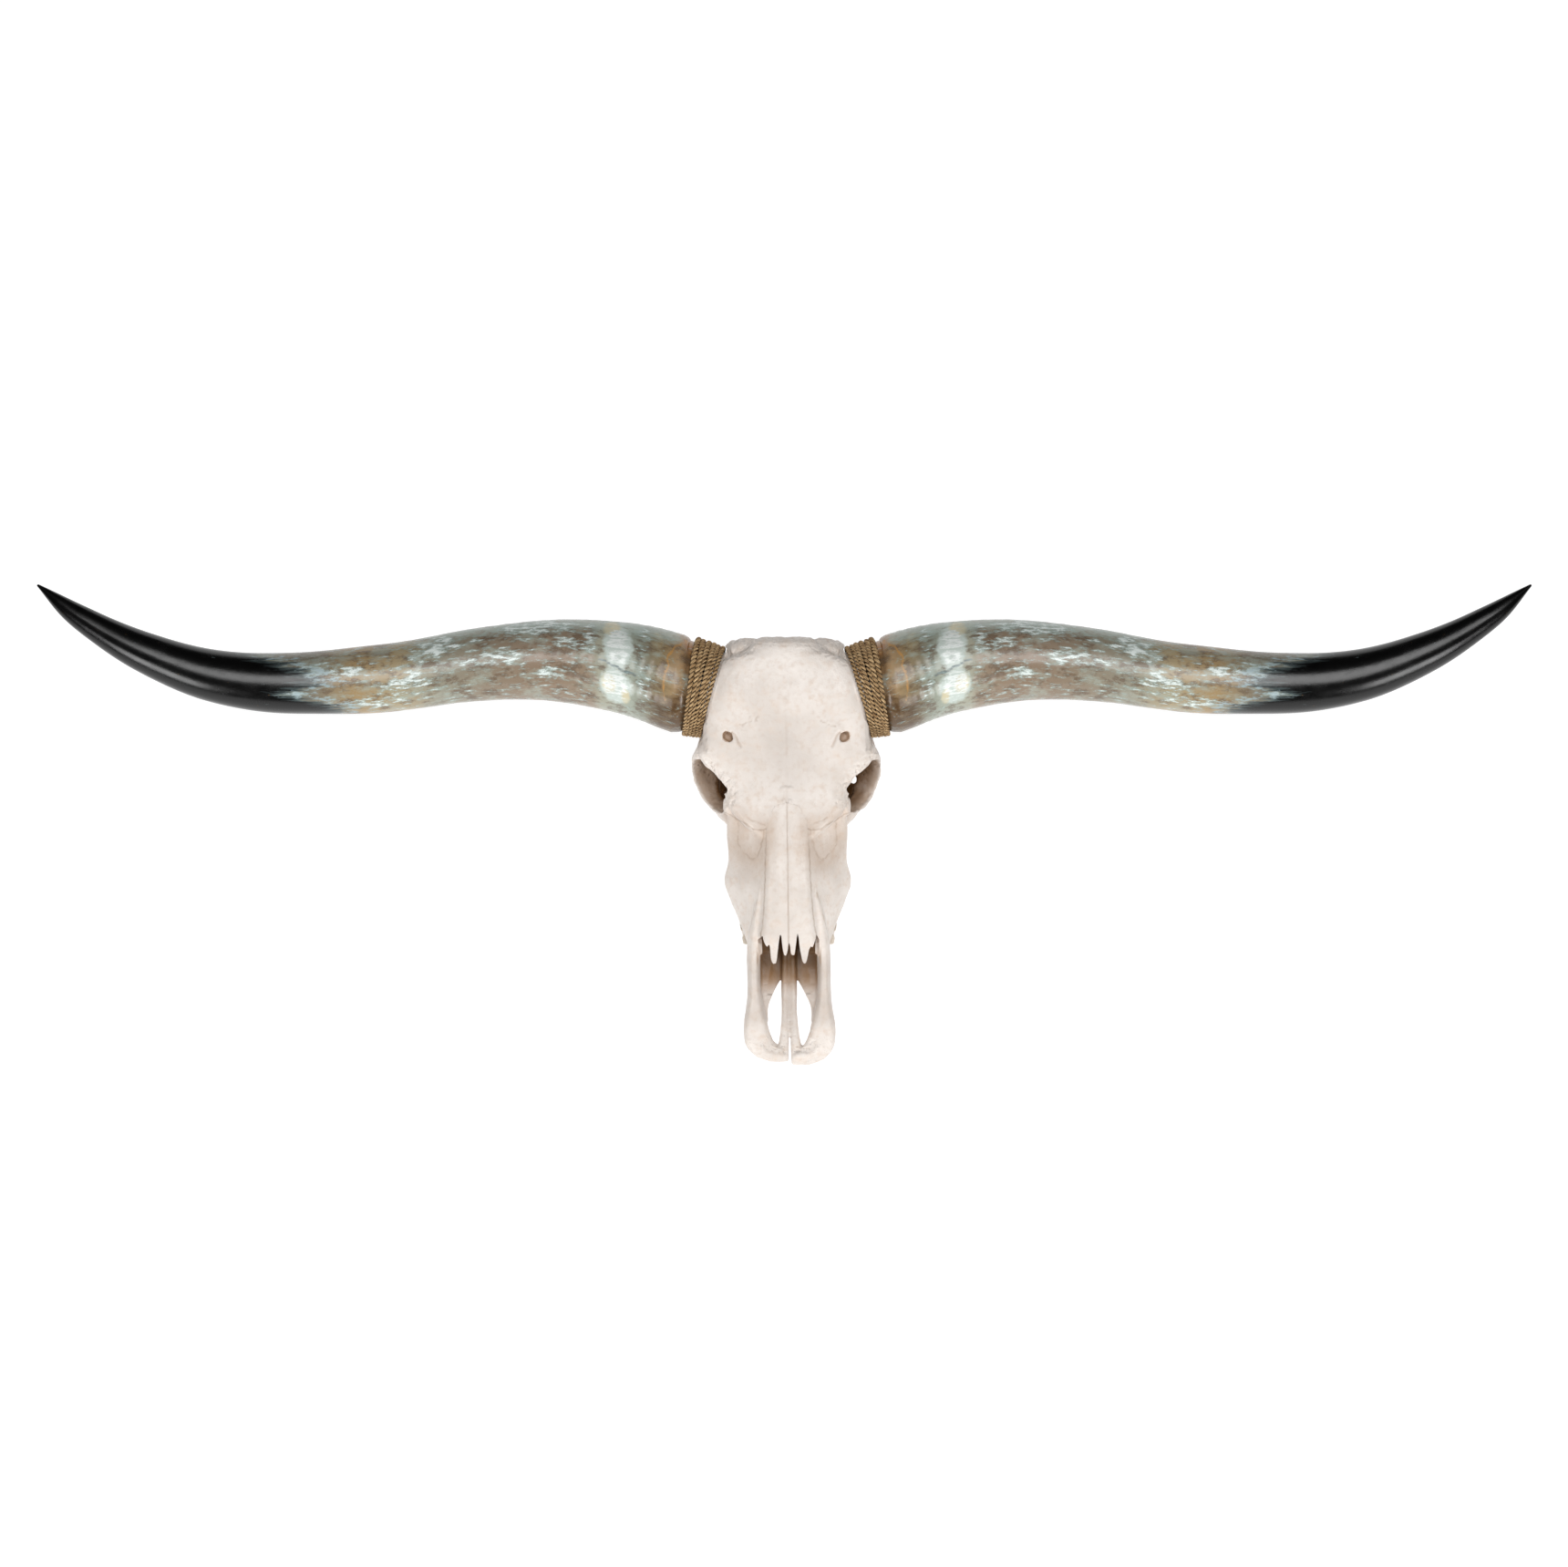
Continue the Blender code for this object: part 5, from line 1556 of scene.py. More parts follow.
            # Jugular process, behind the ear, on which the back of the skull rests
            line = ((62, 44, -120), (62, 46, -150), (58, 50, -180), (52, 53, -206))
            clay.tube(side, line, ((17, 18), (12, 17), (8, 13), (6, 9)))
            # Knobs of the base, and the bony ear
            clay.ball(side, (15, 66, -166), (10, 14, 9))
            clay.ball(side, (40, 80, -154), (12, 18, 24), (12, 0, 0))
            line = ((46, 84, -124), (64, 82, -122), (78, 78, -119))
            clay.tube(side, line, ((13, 13), (10, 10), (9, 9)))
            # Palatine and pterygoid plates, which wall the hind nostrils
            line = ((22, 130, -128), (24, 160, -132), (26, 195, -126), (30, 240, -116))
            clay.tube(side, line, ((4.5, 10), (4.5, 20), (4.5, 22), (6, 18)))

    def orbits(self, clay: Clay) -> None:
        """The bony rings round the eyes, the cheek bones under them and the arches behind."""
        for side in Side:
            clay.add(self.orbit.rings(side, self.orbit.outside))
            # Cheek bone: a plate below and in front of the ring
            line = ((102, 150, -78), (96, 180, -86), (77, 205, -84), (58, 226, -78))
            clay.tube(side, line, ((6, 9), (8, 12), (10, 18), (10, 18)))
            # Zygomatic arch, back to the joint of the lower jaw
            line = ((78, 96, -119), (93, 110, -116), (101, 128, -104), (104, 146, -88), (102, 166, -80))
            clay.tube(side, line, ((10, 11), (7, 11), (6, 11), (6, 11), (6, 10)))
            clay.ball(side, (68, 102, -119), (26, 17, 9))
            # Floor under the socket: the swollen hind end of the upper jaw
            clay.ball(side, (60, 184, -104), (34, 44, 13), (0, -8, 0))
            # Frontal process, from the forehead's edge down the back of the ring
            line = ((88, 128, -24), (101, 140, -34), (107, 148, -60))
            clay.tube(side, line, ((14, 12), (9, 9), (7, 9)))

    def horn_cores(self, clay: Clay) -> None:
        """The bony pegs on the forehead's hind corners, on which the horns are seated."""
        rows = [(-0.052, 0.0, 0.032, 0.002), (-0.03, 0.0, 0.043, 0.002)]
        rows += [self.horn.neck(share, 0.0036) for share in (-0.4, 0.0, 0.6)]
        for side in Side:
            clay.add(self.horn.rings(side, np.array(rows), 72)[0])

    def premaxilla(self, clay: Clay, side: Side) -> None:
        """One half of the front of the upper jaw: a bar up to the nasal bone, a rounded front
        plate without teeth, and a bar back along the middle of the palate."""
        bar = mm(
            (285, 27, 31, -9, -16), (320, 29, 40, -10, -30), (345, 31, 46, -13, -46),
            (362, 32, 49, -15, -60), (380, 33, 50, -18, -78), (400, 33.5, 50, -22, -79),
            (425, 33, 50, -27, -72), (446, 30, 52, -31, -63), (462, 26.5, 54.5, -34, -58),
            (478, 22, 55, -37, -55), (490, 15, 53, -39, -54), (500, -2, 47, -41, -53),
            (508, -2, 37, -43, -51), (512.5, 3, 24, -45, -48),
        )
        if side is Side.LEFT:
            bar = [(row[0] - 0.0035 * float(step(0.47, 0.51, row[0])), *row[1:]) for row in bar]
        clay.add(oval_rings(sided(bar, side), 2.4, count=120))

    def middle_bar(self, side: Side) -> np.ndarray:
        """Half of the bar along the middle of the nose's floor, a ridge beside the other's."""
        rows = mm(
            (290, -1, 8, -64, -80), (385, -1, 8.6, -66, -80), (425, -1, 9.3, -61, -71),
            (455, -1, 9.6, -53, -62), (480, -1, 12, -45, -55), (500, -1, 16, -42, -52),
        )
        return oval_rings(sided(rows, side), 3.0)

    def palate(self, clay: Clay, side: Side) -> None:
        """The shelf of the palate that reaches forward beside the two long front openings."""
        shelf = mm(
            (360, -2, 40, -78, -92), (385, -2, 40, -73, -86), (402, 5, 42, -69, -80),
            (416, 13, 44, -66, -76), (430, 20, 44, -62, -71), (442, 25, 44, -58, -66),
            (462, 26, 44, -50, -57),
        )
        clay.add(oval_rings(sided(shelf, side), 4.0))

    def hollows(self) -> Clay:
        """Everything that is cut out of the fused bone."""
        clay = Clay()
        nasal_cavity = mm(
            (238, 16, -22, -62), (262, 24, -13, -72), (300, 31, -10, -77), (345, 33, -10, -78),
            (372, 33, -11, -76), (430, 33, -8, -68),
        )
        clay.add(oval_rings(centred(nasal_cavity), 3.4))
        hind_nostrils = mm(
            (150, 15, -128, -170), (200, 19, -100, -170), (232, 21, -82, -160),
            (252, 18, -60, -104),
        )
        clay.add(oval_rings(centred(hind_nostrils), 2.6))
        great_foramen = ((0, -10, -136), (0, 30, -132), (0, 80, -112))
        clay.tube(Side.RIGHT, great_foramen, ((19, 16), (18, 16), (22, 20)))
        for side in Side:
            clay.add(self.orbit.rings(side, self.orbit.inside))
            # Temporal hollow, behind the ring and under the forehead's edge
            clay.ball(side, (98, 120, -74), (38, 30, 22), (0, 0, 10))
            # Way down from the socket, inside the cheek bone
            clay.ball(side, (56, 176, -85), (26, 36, 18))
            for *line, radius in self.nerve_holes:
                clay.tube(side, line, [(radius, radius)] * 3, 24)
        # A gap in the floor of the right socket, through which the light below shows
        gap = ((78.5, 170.5, -20), (80.5, 170.5, -80), (83, 170.5, -150))
        clay.tube(Side.RIGHT, gap, ((4, 5.2), (4, 5.2), (4.6, 5.8)), 24)
        return clay

    def body(self) -> bpy.types.Object:
        """The whole bone, fused, hollowed and smoothed, before it is parted."""
        clay = Clay()
        parts = (self.forehead, self.face, self.nose_roof, self.nape, self.base, self.orbits)
        for part in (*parts, self.horn_cores):
            part(clay)
        for side in Side:
            self.premaxilla(clay, side)
            self.palate(clay, side)
        bone = fuse(clay.to_object("bone"), self.voxel)
        hollows = fuse(self.hollows().to_object("hollows"), self.voxel)
        cut(bone, hollows, Cut.OUTSIDE)
        # The middle bar, and on each socket's rim the spur of the tear bone
        late = Clay()
        for side in Side:
            late.add(self.middle_bar(side))
            late.ball(side, (70.5, 202, -29), (6, 12, 9.5))
        cut(bone, fuse(late.to_object("late"), self.voxel), Cut.BOTH)
        # The split in the front plate, and the notch in each brow above the spur
        split = ((-0.0004, 0.456), (0.0004, 0.456), (0.0022, 0.515), (-0.0022, 0.515))
        notches = [block_rings(split, -0.1, 0.0)]
        wedge = seen((785, 850), (790.5, 856), (797.5, 865), (797, 868), (791, 873), (785, 873))
        notches += [block_rings(side.put(wedge), -0.05, 0.02) for side in Side]
        cut(bone, solid("notch", *notches), Cut.OUTSIDE)
        fuse(bone, self.voxel)
        points, faces = shells_of(bone, 1000)[0]
        bpy.data.objects.remove(bone)
        bone = new_object("bone", points, faces)
        relax(bone.data, 3)
        skin = Skin(bone.data)
        root = step(0.19, 0.212, skin.s) * fall(0.25, 0.275, skin.s) * step(-0.07, -0.05, skin.z)
        relax(bone.data, 40, root * step(0.2, 0.5, skin.normals[:, 2]))
        self.relief(bone)
        return bone

    def relief(self, bone: bpy.types.Object) -> None:
        """Moves the skin along its normals: soft swells everywhere, lumps and pores on the rims
        of the sockets and on the nape, knobs, folds and grooves where the marks have them."""
        marks, skin = self.marks, Skin(bone.data)
        points, normals, x, s = skin.points, skin.normals, skin.x, skin.s
        top = step(0.15, 0.6, normals[:, 2])
        rise = 0.0003 * layered_noise(points, 0.03, 51) + 0.00014 * layered_noise(points, 0.0075, 52)
        pores = step(0.15, 0.65, noise(points, 0.003, 53))
        lumps = layered_noise(points, 0.007, 54)
        brow = bell(marks.gap(points, marks.brow_rim), 0.012) * top
        rise += brow * (0.0008 * lumps - 0.0015 * pores)
        behind = step(0.2, 0.7, normals[:, 1])
        below = step(0.2, 0.7, -normals[:, 2])
        rise += (behind + 0.6 * below) * (0.0006 * lumps - 0.0005 * pores)
        for side in Side:
            depth, radius = self.orbit.local(side, points)
            ring = bell(radius - 0.0365, 0.004) * bell(depth, 0.012)
            rise += ring * 0.0007 * layered_noise(points, 0.008, 55)
        front = step(0.195, 0.225, s)
        rise -= top * 0.0008 * bell(x, 0.0035) * front
        rise += top * 0.0004 * bell(np.abs(x) - 0.011, 0.006) * front
        rise -= top * 0.0003 * bell(x, 0.0016) * (1 - front) * step(0.08, 0.12, s)
        rise -= top * 0.0003 * bell(marks.seams(points), 0.0013)
        knobs = np.minimum(marks.gap(points, marks.nose_knob), marks.gap(points, marks.nose_knob_low))
        rise += top * 0.0012 * bell(knobs, 0.0024)
        fold = marks.gap(points, marks.brow_fold)
        rise += top * (0.0007 * bell(fold - 0.0032, 0.0022) - 0.0011 * bell(fold, 0.0017))
        tip = step(0.47, 0.485, s)
        crescent = marks.gap(points, marks.plate_ridge)
        pitted = bell(marks.gap(points, marks.plate_pits), 0.007)
        rise += top * tip * (0.0019 * bell(crescent, 0.003) - 0.0009 * pitted - 0.0012 * pitted * pores)
        bump = bell(marks.gap(points, marks.bump), 0.013)
        rise += bump * (0.0004 * lumps - 0.0006 * pores)
        set_points(bone.data, points + normals * rise[:, None])

    def nose_front(self) -> bpy.types.Object:
        """What is cut from the front of the nasal bones, to leave two pairs of points."""
        edge = seen(
            (836.5, 1027), (838, 1033.7), (841.2, 1038.7), (843, 1037), (844.4, 1038.4), (845, 1045),
            (845.8, 1052.5), (847.5, 1057), (850, 1058), (851.7, 1055), (853, 1045), (854.5, 1032.5),
            (855.6, 1026), (856.8, 1026.5), (857.6, 1033), (858.8, 1042.5), (860.5, 1048), (862.5, 1048),
            (864, 1042.5), (865, 1036.5), (865.8, 1035), (866.6, 1037.5), (867.6, 1046), (869.5, 1048),
            (871.5, 1047), (873, 1037.5), (874.2, 1027.5), (875, 1024.5), (876, 1028.7), (877, 1037.5),
            (878.7, 1047.5), (880.5, 1055), (882.5, 1057.5), (884.5, 1055.7), (886.2, 1048.7),
            (887.5, 1042.5), (889.5, 1038.7), (891.2, 1039.5), (892.5, 1037), (893.7, 1033.7), (896, 1026),
        )
        outline = [(-0.0362, 0.361), *smooth(edge, 4), (0.0362, 0.361), (0.0362, 0.46), (-0.0362, 0.46)]
        return solid("nose_front", block_rings(outline, -0.026, 0.02))

    def nasal_outline(self) -> np.ndarray:
        """The suture round the right nasal bone, as x and s from the midline forward."""
        half = mm(
            (0, 198), (14, 202), (23.5, 220), (25.5, 250), (26.8, 284), (28.5, 320), (31, 345),
            (34, 364), (34, 420),
        )
        return wavy(half, 0.0012, 0.0007, 11)

    def nasal_block(self, grown: float) -> bpy.types.Object:
        """A block round the two nasal bones, with their outline in plan."""
        half = self.nasal_outline()
        half = half + left_of(half) * -grown
        half[0, 0] = 0.0
        mirrored = half[:0:-1] * (-1, 1)
        outline = np.concatenate((half, mirrored))
        return solid("nasal_block", block_rings(outline, -0.012 - grown, 0.04))

    def face_path(self) -> np.ndarray:
        """The suture between the skull's back half and the jaws, from cheek to cheek."""
        half = mm(
            (0, 214), (20, 225), (28, 231), (40, 229.5), (52, 222), (70, 212), (85, 206), (130, 204)
        )
        return wavy([*Side.LEFT.put(half[:0:-1]), *half], 0.0015, 0.0012, 21)

    def face_suture(self) -> bpy.types.Object:
        """The cut through that suture, square to the forehead."""
        return solid("suture", ribbon_rings(self.face_path(), -0.2, 0.03, self.suture, True))

    def midline(self, start: float, level: float) -> bpy.types.Object:
        """A cut down the middle of the face, from a given s forward. It leans a little about a
        line at a given z, so that the light below does not show through."""
        path = wavy(((0.0, start), (0.0, 0.56)), 0.0012, 0.0005, 31)
        sheet = solid("suture", ribbon_rings(path, -0.2, 0.05, self.suture, True))
        points = points_of(sheet.data)
        points[:, 0] += 0.06 * (points[:, 2] - level)
        set_points(sheet.data, points)
        return sheet

    def jaw_suture(self) -> bpy.types.Object:
        """Between an upper jaw and its premaxilla, as a sheet across the jaw."""
        path = wavy(self.jaw_path, 0.0015, 0.0006, 41)
        return solid("suture", ribbon_rings(path, -0.1, 0.1, self.suture, False))

    def parted(self, bone: bpy.types.Object) -> dict[str, tuple[np.ndarray, np.ndarray]]:
        """The bone parted along its sutures.

        Args:
            bone: the whole bone, which is used up.

        Returns:
            Points and triangles of each named bone.
        """
        cut(bone, self.nose_front(), Cut.OUTSIDE)
        for side in Side:
            cut(bone, self.horn.seat(side), Cut.OUTSIDE)
        nose = twin_of(bone)
        cut(nose, self.nasal_block(0.0), Cut.INSIDE)
        cut(nose, self.midline(0.19, -0.004), Cut.OUTSIDE)
        sutures = (self.face_suture(), self.midline(0.2138, -0.06), self.jaw_suture())
        for tool in (self.nasal_block(self.suture), *sutures):
            cut(bone, tool, Cut.OUTSIDE)
        found: dict[str, tuple[np.ndarray, np.ndarray]] = {}
        for obj, is_nose in ((nose, True), (bone, False)):
            for points, faces in shells_of(obj, 300):
                middle = (points.min(axis=0) + points.max(axis=0)) / 2
                side = "left" if middle[0] < 0 else "right"
                if is_nose:
                    name = "nasal_bone_" + side
                elif abs(middle[0]) < 0.006:
                    name = "cranium"
                else:
                    name = ("premaxilla_" if -middle[1] > 0.36 else "upper_jaw_") + side
                found.setdefault(name, (points, faces))
            bpy.data.objects.remove(obj)
        return found

    def socket_levels(self, skin: Skin) -> tuple[np.ndarray, np.ndarray]:
        """Where the eye sockets and the ways down from them are, and how much painted shade darkens
        them inside, the more the further in, the right one more than the left."""
        sockets = socket_shade = np.zeros(len(skin.points))
        for side in Side:
            depth, radius = self.orbit.local(side, skin.points)
            cup = step(-0.001, 0.004, -depth) * fall(0.0355, 0.04, radius) * (depth > -0.07)
            down = np.stack((skin.aside - 0.056, skin.s - 0.176, skin.z + 0.085), axis=1)
            down = fall(0.95, 1.2, np.linalg.norm(down / (0.029, 0.04, 0.022), axis=1))
            inside = np.maximum(cup, down)
            # Painted shade inside the sockets: darker further in, the right one darker than the left
            near = (0.42 if side is Side.LEFT else 0.9) * step(0.002, 0.014, -depth)
            level = (near + 0.3 * step(0.016, 0.045, -depth)) * inside
            sockets, socket_shade = np.maximum(sockets, inside), np.maximum(socket_shade, level)
        return sockets, socket_shade

    def stains(
        self, skin: Skin, around: Surroundings, sockets: np.ndarray
    ) -> tuple[np.ndarray, np.ndarray]:
        """How brown each point is, and how dark, apart from the sockets' own painted shade.

        Args:
            skin: a bone's skin.
            around: the lattice of the whole bone's skin.
            sockets: how far each point lies in an eye socket.

        Returns:
            Brown in the nose and the sockets, partly as painted shade; brown as painted shade in the
            nerve holes, in other hollows and round the loop of the tear bone; a darker brown as painted
            shade deep in the nose, in the holes and on the bone under the rope, which shows between
            the rope's turns.
        """
        s, z, aside, top = skin.s, skin.z, skin.aside, skin.top
        # Painted shade: brown where much skin lies ahead of a point, as occlusion in hollows
        hollow = step(0.55, 1.5, around.ahead(skin.points, skin.normals))
        nose = (aside < 0.034) & (s > 0.235) & (z < -0.01 - 0.1 * np.clip(s - 0.36, 0, 1))
        nose = nose * (z > -0.092) * fall(0.405, 0.435, s) * (1 - top * (z > -0.03))
        shelf = step(0.38, 0.395, s) * fall(0.41, 0.44, s) * (z < -0.045) * (aside < 0.036)
        # Painted shade: brown, and a little darker, inside the nerve holes
        hole = np.hypot(aside - 0.069, s - 0.1193) < 0.007
        hole = step(0.0012, 0.003, -z) * hole * (z > -0.03)
        # Painted shade: brown round the loop of the tear bone
        loop = top * bell(self.marks.gap(skin.points, self.marks.tear_loop), 0.019)
        front = step(0.37, 0.39, s) * fall(0.44, 0.47, s)
        stain = most(
            0.55 * hollow, nose, 0.35 * shelf, 0.58 * sockets, 0.42 * loop, 0.1 * front, 0.85 * hole
        )
        away = np.stack((aside - 0.087, s - 0.07, z + 0.056), axis=1)
        heading = unit(np.array((0.041, -0.0145, 0.0)))
        # Painted shade: the bone under the rope darkened, where it shows between the rope's turns
        peg_shade = fall(0.0488, 0.05, np.linalg.norm(np.cross(away, heading), axis=1))
        peg_shade = peg_shade * step(0.0, 0.002, away @ heading) * (aside > 0.08)
        # dark: painted shade deep in the nose, in the holes and on the bone under the rope
        return stain, most(nose * 0.8 * fall(0.385, 0.43, s), 0.12 * hole, 1.2 * peg_shade)

    def greys(self, skin: Skin, bump: np.ndarray, sockets: np.ndarray) -> np.ndarray:
        """How grey each point is: the porous bump at the foot of the horns, grey partly as painted
        shade; painted shade on the temples behind the sockets and on the low middle of the forehead;
        the front of the jaws; and the sockets.

        Args:
            skin: a bone's skin.
            bump: how far each point lies on the porous bump beside the poll.
            sockets: how far it lies in an eye socket.

        Returns:
            The level at each point.
        """
        marks, s = self.marks, skin.s
        # Painted shade: a grey strip on each temple behind the socket
        temple_shade = (skin.aside > 0.094) * (np.abs(s - 0.118) < 0.022)
        spots_dark = step(0.2, 0.7, noise(skin.points, 0.004, 72))
        # Painted shade on the low middle of the forehead
        forehead_shade = 0.42 * bell(np.hypot(skin.x, s - 0.145), 0.048) * skin.top
        # The bump by the poll greyed partly as painted shade, with dark pores
        grey = (0.08 * bump + temple_shade) * (0.25 + 0.75 * spots_dark) + forehead_shade
        grey += 0.8 * bell(marks.gap(skin.points, marks.bump_pores), 0.004) * spots_dark * (s < 0.03)
        return most(grey, 0.3 * step(0.375, 0.4, s) * fall(0.455, 0.475, s), 0.55 * sockets)

    def seam_levels(self, skin: Skin, brow: np.ndarray) -> np.ndarray:
        """How strongly each point is tinted as a suture, a fine line, a fold's crease as painted shade, or
        a speckle.
        """
        marks, points, x, s, z, top = self.marks, skin.points, skin.x, skin.s, skin.z, skin.top
        uneven = step(-0.7, 0.5, noise(points, 0.005, 73))
        line = 0.5 * bell(marks.seams(points), 0.0008) * top * uneven
        # Painted shade: a dark line along the crease of the brow fold
        fold = 0.5 * bell(marks.gap(points, marks.brow_fold), 0.0012) * top
        middle = 0.5 * step(0.19, 0.21, s) * (s < 0.37) + 0.2 * (s > 0.07) * (s < 0.2) * uneven
        jaw = bell(distance_to(np.column_stack((s, z)), self.jaw_path), 0.001)
        jaw = 0.5 * jaw * (skin.aside > 0.034) * (np.abs(z + 0.026) < 0.02) * uneven
        face = bell(distance_to(np.column_stack((x, s)), self.face_path()), 0.0009)
        face = face * step(-0.1, 0.3, skin.normals[:, 2]) * (skin.aside > 0.0245)
        nose = distance_to(np.column_stack((skin.aside, s)), self.nasal_outline())
        nose = bell(nose, 0.0008) * top * step(0.235, 0.26, s) * (s < 0.37)
        speckle = step(0.35, 0.8, noise(points, 0.0022, 74))
        wrinkles = 0.5 * speckle * top * bell(marks.gap(points, marks.wrinkles), 0.007)
        pitted = np.maximum(0.6 * brow, bell(marks.gap(points, marks.plate_pits), 0.008))
        sutures = np.maximum(face, nose) * (0.2 + 0.32 * uneven)
        middle = middle * bell(x, 0.0008) * top
        return most(line, fold, middle, jaw, sutures, wrinkles, 0.42 * speckle * pitted)

    def tint(self, mesh: bpy.types.Mesh, around: Surroundings) -> None:
        """Gives a bone's points the attributes that its finish reads: stain is brown, partly painted
        shade; dark is a darker brown, all painted shade; grey is grey, partly painted shade; seam is
        a suture's tint, with painted shade along the brow fold; and rough is where pores show.

        Args:
            mesh: a bone in the skull's frame.
            around: the lattice of the whole bone's skin.
        """
        skin, marks = Skin(mesh), self.marks
        sockets, socket_shade = self.socket_levels(skin)
        stain, dark = self.stains(skin, around, sockets)
        bump = bell(marks.gap(skin.points, marks.bump), 0.012) * step(0.002, 0.006, -skin.z)
        brow = bell(marks.gap(skin.points, marks.brow_rim), 0.013) * skin.top
        plate = step(0.47, 0.482, skin.s) * 0.8
        rough = most(brow, bump, step(0.2, 0.7, skin.normals[:, 1]), plate) * (1 - sockets)
        blotch = 0.88 + 0.14 * layered_noise(skin.points, 0.012, 71)
        levels = {
            "stain": stain * blotch,
            # dark: painted shade in the nose, the holes, on the bone under the rope and inside the sockets
            "dark": np.maximum(dark, socket_shade) * blotch,
            "grey": self.greys(skin, bump, sockets),
            "seam": self.seam_levels(skin, brow),
            "rough": rough,
        }
        for name, level in levels.items():
            set_attribute(mesh, name, np.clip(level, 0, 1))

    def build(self, finish: bpy.types.Material) -> None:
        """Makes every bone as a piece of its own."""
        body = self.body()
        around = Surroundings(points_of(body.data), 0.01)
        for name, (points, faces) in self.parted(body).items():
            obj = new_object(name + "_bone", points, faces)
            if len(faces) > self.most_faces:
                apply_modifier(obj, "DECIMATE", ratio=self.most_faces / len(faces))
            self.tint(obj.data, around)
            lay_down(obj.data)
            dress(obj, finish)
            hand_over(obj, name)


@dataclass(frozen=True)
class TeethRow:
    """The six cheek teeth of one side, worn level, on which the skull rests."""

    side: Side
    # Length along the row and width of the premolars and of the molars, from the front back
    premolars: Rows = mm((15, 14), (18, 18), (17, 20))
    molars: Rows = mm((23, 22.5), (27, 24.5), (29, 24))
    start: float = 0.371
    middle: Rows = ((0.24, 0.054), (0.3, 0.0525), (0.371, 0.049))
    gap: float = 0.0006
    sides: int = 88
    # Rings from the root down to the worn face and inward over it: height above the floor,
    # share of the outline, and depth of the hollows in the worn face
    levels: Rows = (
        (0.03, 0.86, 0.0), (0.02, 0.94, 0.0), (0.012, 0.985, 0.0), (0.006, 1.0, 0.0),
        (0.0022, 1.0, 0.0), (0.0006, 0.985, 0.0), (0.0, 0.955, 0.0), (0.0, 0.9, 0.2),
        (0.0, 0.8, 1.0), (0.0, 0.68, 1.0), (0.0, 0.56, 1.0), (0.0, 0.44, 1.0), (0.0, 0.32, 1.0),
        (0.0, 0.2, 1.0), (0.0, 0.08, 1.0),
    )

    def crown(
        self, front: float, length: float, width: float, lobed: bool
    ) -> tuple[np.ndarray, np.ndarray]:
        """One tooth: a squarish oval with ribs on the cheek side and lobes on the tongue side,
        and a worn face with crescent hollows between crests of enamel.

        Args:
            front: s of its front.
            length: its length along the row.
            width: its width.
            lobed: whether it is a molar.

        Returns:
            Its rings in the skull's frame, and how brown each point is.
        """
        middle = front - length / 2
        x = float(curve_through(self.middle, np.array([middle]))[0, 0])
        angle = angles(self.sides)[None, :]
        height, share, worn = np.array(self.levels).T[:, :, None]
        ahead, beside = squared(np.cos(angle), 0.55), squared(np.sin(angle), 0.55)
        lobes = 2 if lobed else 1
        cheek = step(0.2, 0.8, beside)
        tongue = step(0.2, 0.8, -beside)
        ribs = 0.07 * np.abs(np.cos(ahead * math.pi * lobes)) ** 3 * cheek
        dent = 0.22 * bell(ahead, 0.2) * tongue if lobed else 0.0 * ahead
        taper = 0.1 * ahead**4 * tongue
        reach = 1 - 0.06 + ribs - dent - taper
        a = ahead * share * (length - self.gap) / 2
        b = beside * share * reach * width / 2
        along, over = ahead * share, beside * share * reach
        hollow = np.zeros_like(a)
        for centre in (-0.5, 0.5) if lobed else (0.0,):
            apart = (along - centre) * lobes
            crescent = np.hypot(apart, over * 1.1 + 0.3 * apart**2)
            hollow = np.maximum(hollow, bell(crescent - 0.28, 0.16))
        rise = height + worn * (0.0006 + 0.002 * hollow)
        s = middle + a
        crowns = spots(self.side.value * (x + b), s, REST.floor(s) + rise / math.cos(REST.pitch))
        brown = 0.75 * worn * hollow + 0.25 * step(0.004, 0.016, height)
        brown = brown + 0.5 * bell(ahead, 0.2) * (reach < 0.9)
        return crowns, np.clip(brown + 0 * a, 0, 1)

    def build(self) -> bpy.types.Object:
        """The crowns one behind the other, as one piece that stands on the floor."""
        clay = Clay()
        stains = []
        front = self.start
        for length, width in (*self.premolars, *self.molars):
            rings, brown = self.crown(front, length, width, (length, width) in self.molars)
            clay.add(rings)
            stains.append(np.concatenate((brown.ravel(), brown[0, :1], brown[-1, :1])))
            front -= length
        obj = clay.to_object("teeth_" + self.side.word)
        lay_down(obj.data)
        set_attribute(obj.data, "stain", np.concatenate(stains))
        return obj


# ------------------------------------------------------------------ studio


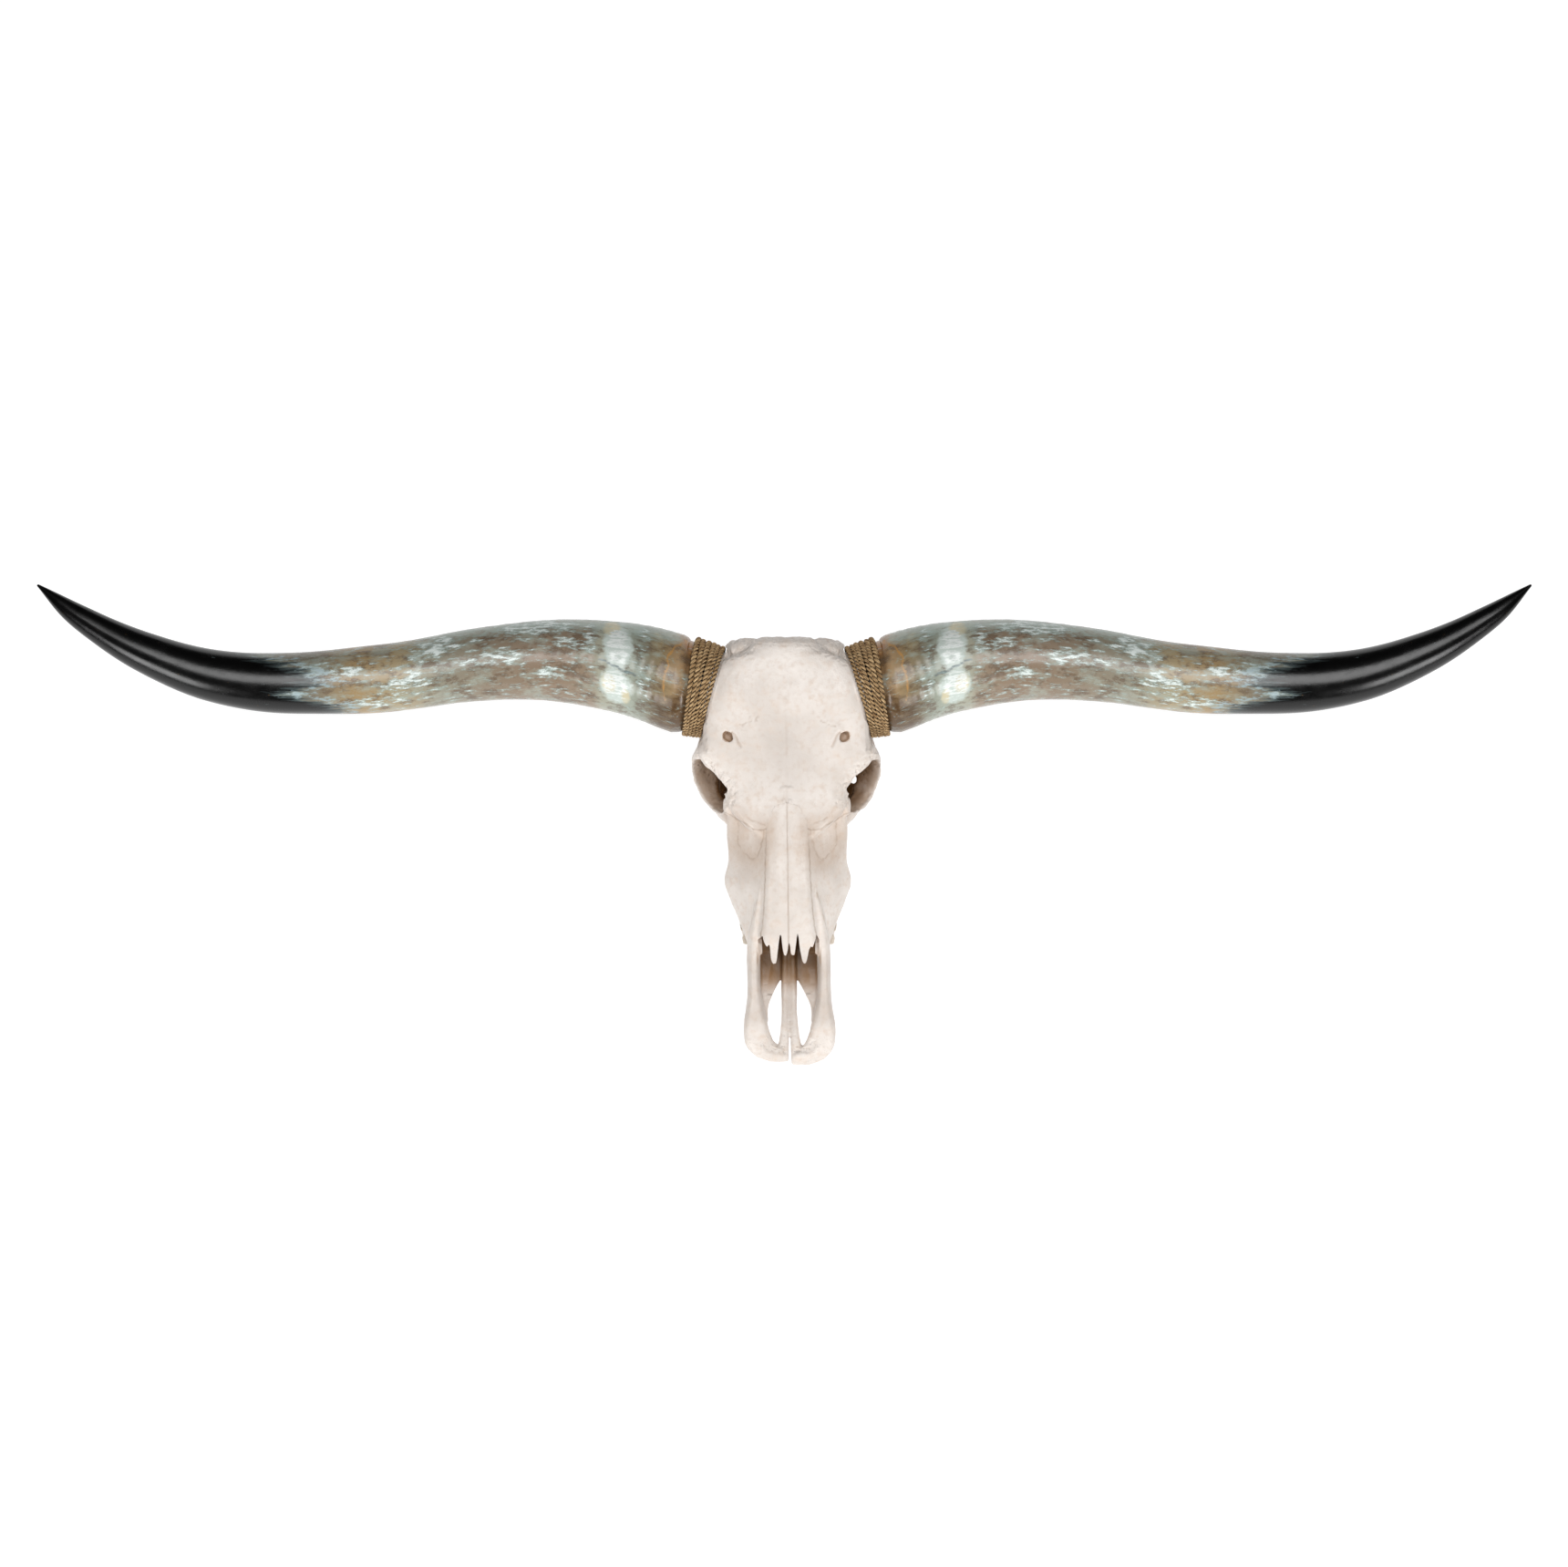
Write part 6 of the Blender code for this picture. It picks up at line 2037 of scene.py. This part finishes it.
@dataclass(frozen=True)
class Studio:
    """A white floor, soft light from all sides, and the camera that looks down on the face."""

    distance: float = 4.0
    width: int = 1720  # of the photograph, in pixels
    middle: tuple[float, float] = (860.0, 859.5)
    glow: float = 0.9  # a light table's own light, which keeps shadows faint
    ambient: float = 0.42
    floor_half: float = 12.0

    def camera(self) -> None:
        """A camera square to the forehead's plane, whose axis passes the photograph's middle."""
        x, s = (np.array(self.middle) - POLL_PIXEL) * PIXEL
        tilt = REST.pitch
        up = Vector((0, math.cos(tilt), math.sin(tilt)))
        back = Vector((0, -math.sin(tilt), math.cos(tilt)))
        aim = Vector((x, -s * up.y + REST.poll_back, REST.poll_height - s * up.z))
        data = bpy.data.cameras.new("camera")
        data.sensor_fit = "HORIZONTAL"
        data.sensor_width = 36.0
        data.lens = 36.0 * self.distance / (self.width * PIXEL)
        data.clip_end = 100.0
        obj = bpy.context.scene.camera = linked("camera", data)
        turn = Matrix((Vector((1, 0, 0)), up, back)).transposed().to_4x4()
        obj.matrix_world = Matrix.Translation(aim + back * self.distance) @ turn

    def floor(self) -> None:
        """A plain white floor at the level on which the skull rests."""
        corners = np.array([(-1, -1, 0), (1, -1, 0), (1, 1, 0), (-1, 1, 0)]) * self.floor_half
        obj = new_object("floor", corners, np.array([(0, 1, 2, 3)]))
        material, tree, shader = new_material("floor")
        feed(tree, shader, {"Base Color": linear("#8c8c8c"), "Roughness": 0.9})
        feed(tree, shader, {"Specular IOR Level": 0.1, "Emission Color": linear("#ffffff")})
        feed(tree, shader, {"Emission Strength": self.glow})
        obj.data.materials.append(material)

    def light(self, place: Sequence[float], size: float, power: float) -> None:
        """A square soft light that faces the skull."""
        data = bpy.data.lights.new("soft", "AREA")
        data.size = size
        data.energy = power
        obj = linked("soft", data)
        obj.location = place
        obj.rotation_euler = (Vector((0, 0, 0.1)) - Vector(place)).to_track_quat("-Z", "Y").to_euler()

    def build(self) -> None:
        """Sets up the floor, the lights and the camera."""
        self.camera()
        self.floor()
        world = bpy.data.worlds.new("studio")
        world.use_nodes = True
        light = {0: linear("#ffffff"), 1: self.ambient}
        feed(world.node_tree, world.node_tree.nodes["Background"], light)
        self.light((0.15, -0.15, 3.2), 1.8, 65.0)
        for side in Side:
            self.light((side.value * 1.7, -2.1, 1.25), 1.1, 34.0)
        bpy.context.scene.view_settings.view_transform = "Standard"


def main() -> None:
    """Builds the studio, the bones, the horns and the rope."""
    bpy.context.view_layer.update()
    Studio().build()
    shape = HornShape()
    keratin, fibre, enamel = (made().material() for made in (HornFinish, RopeFinish, EnamelFinish))
    Skull(shape).build(BoneFinish().material())
    for side in Side:
        pieces = (
            (Horn(shape, side).build(), keratin, 40.0, "horn_", "horn"),
            (RopeWrap(shape, side).build(), fibre, 80.0, "rope_wrap_", "rope"),
            (TeethRow(side).build(), enamel, 50.0, "upper_jaw_", "bone"),
        )
        for obj, material, sharp, node, slot in pieces:
            dress(obj, material, sharp)
            hand_over(obj, node + side.word)


if __name__ == "__main__":
    main()
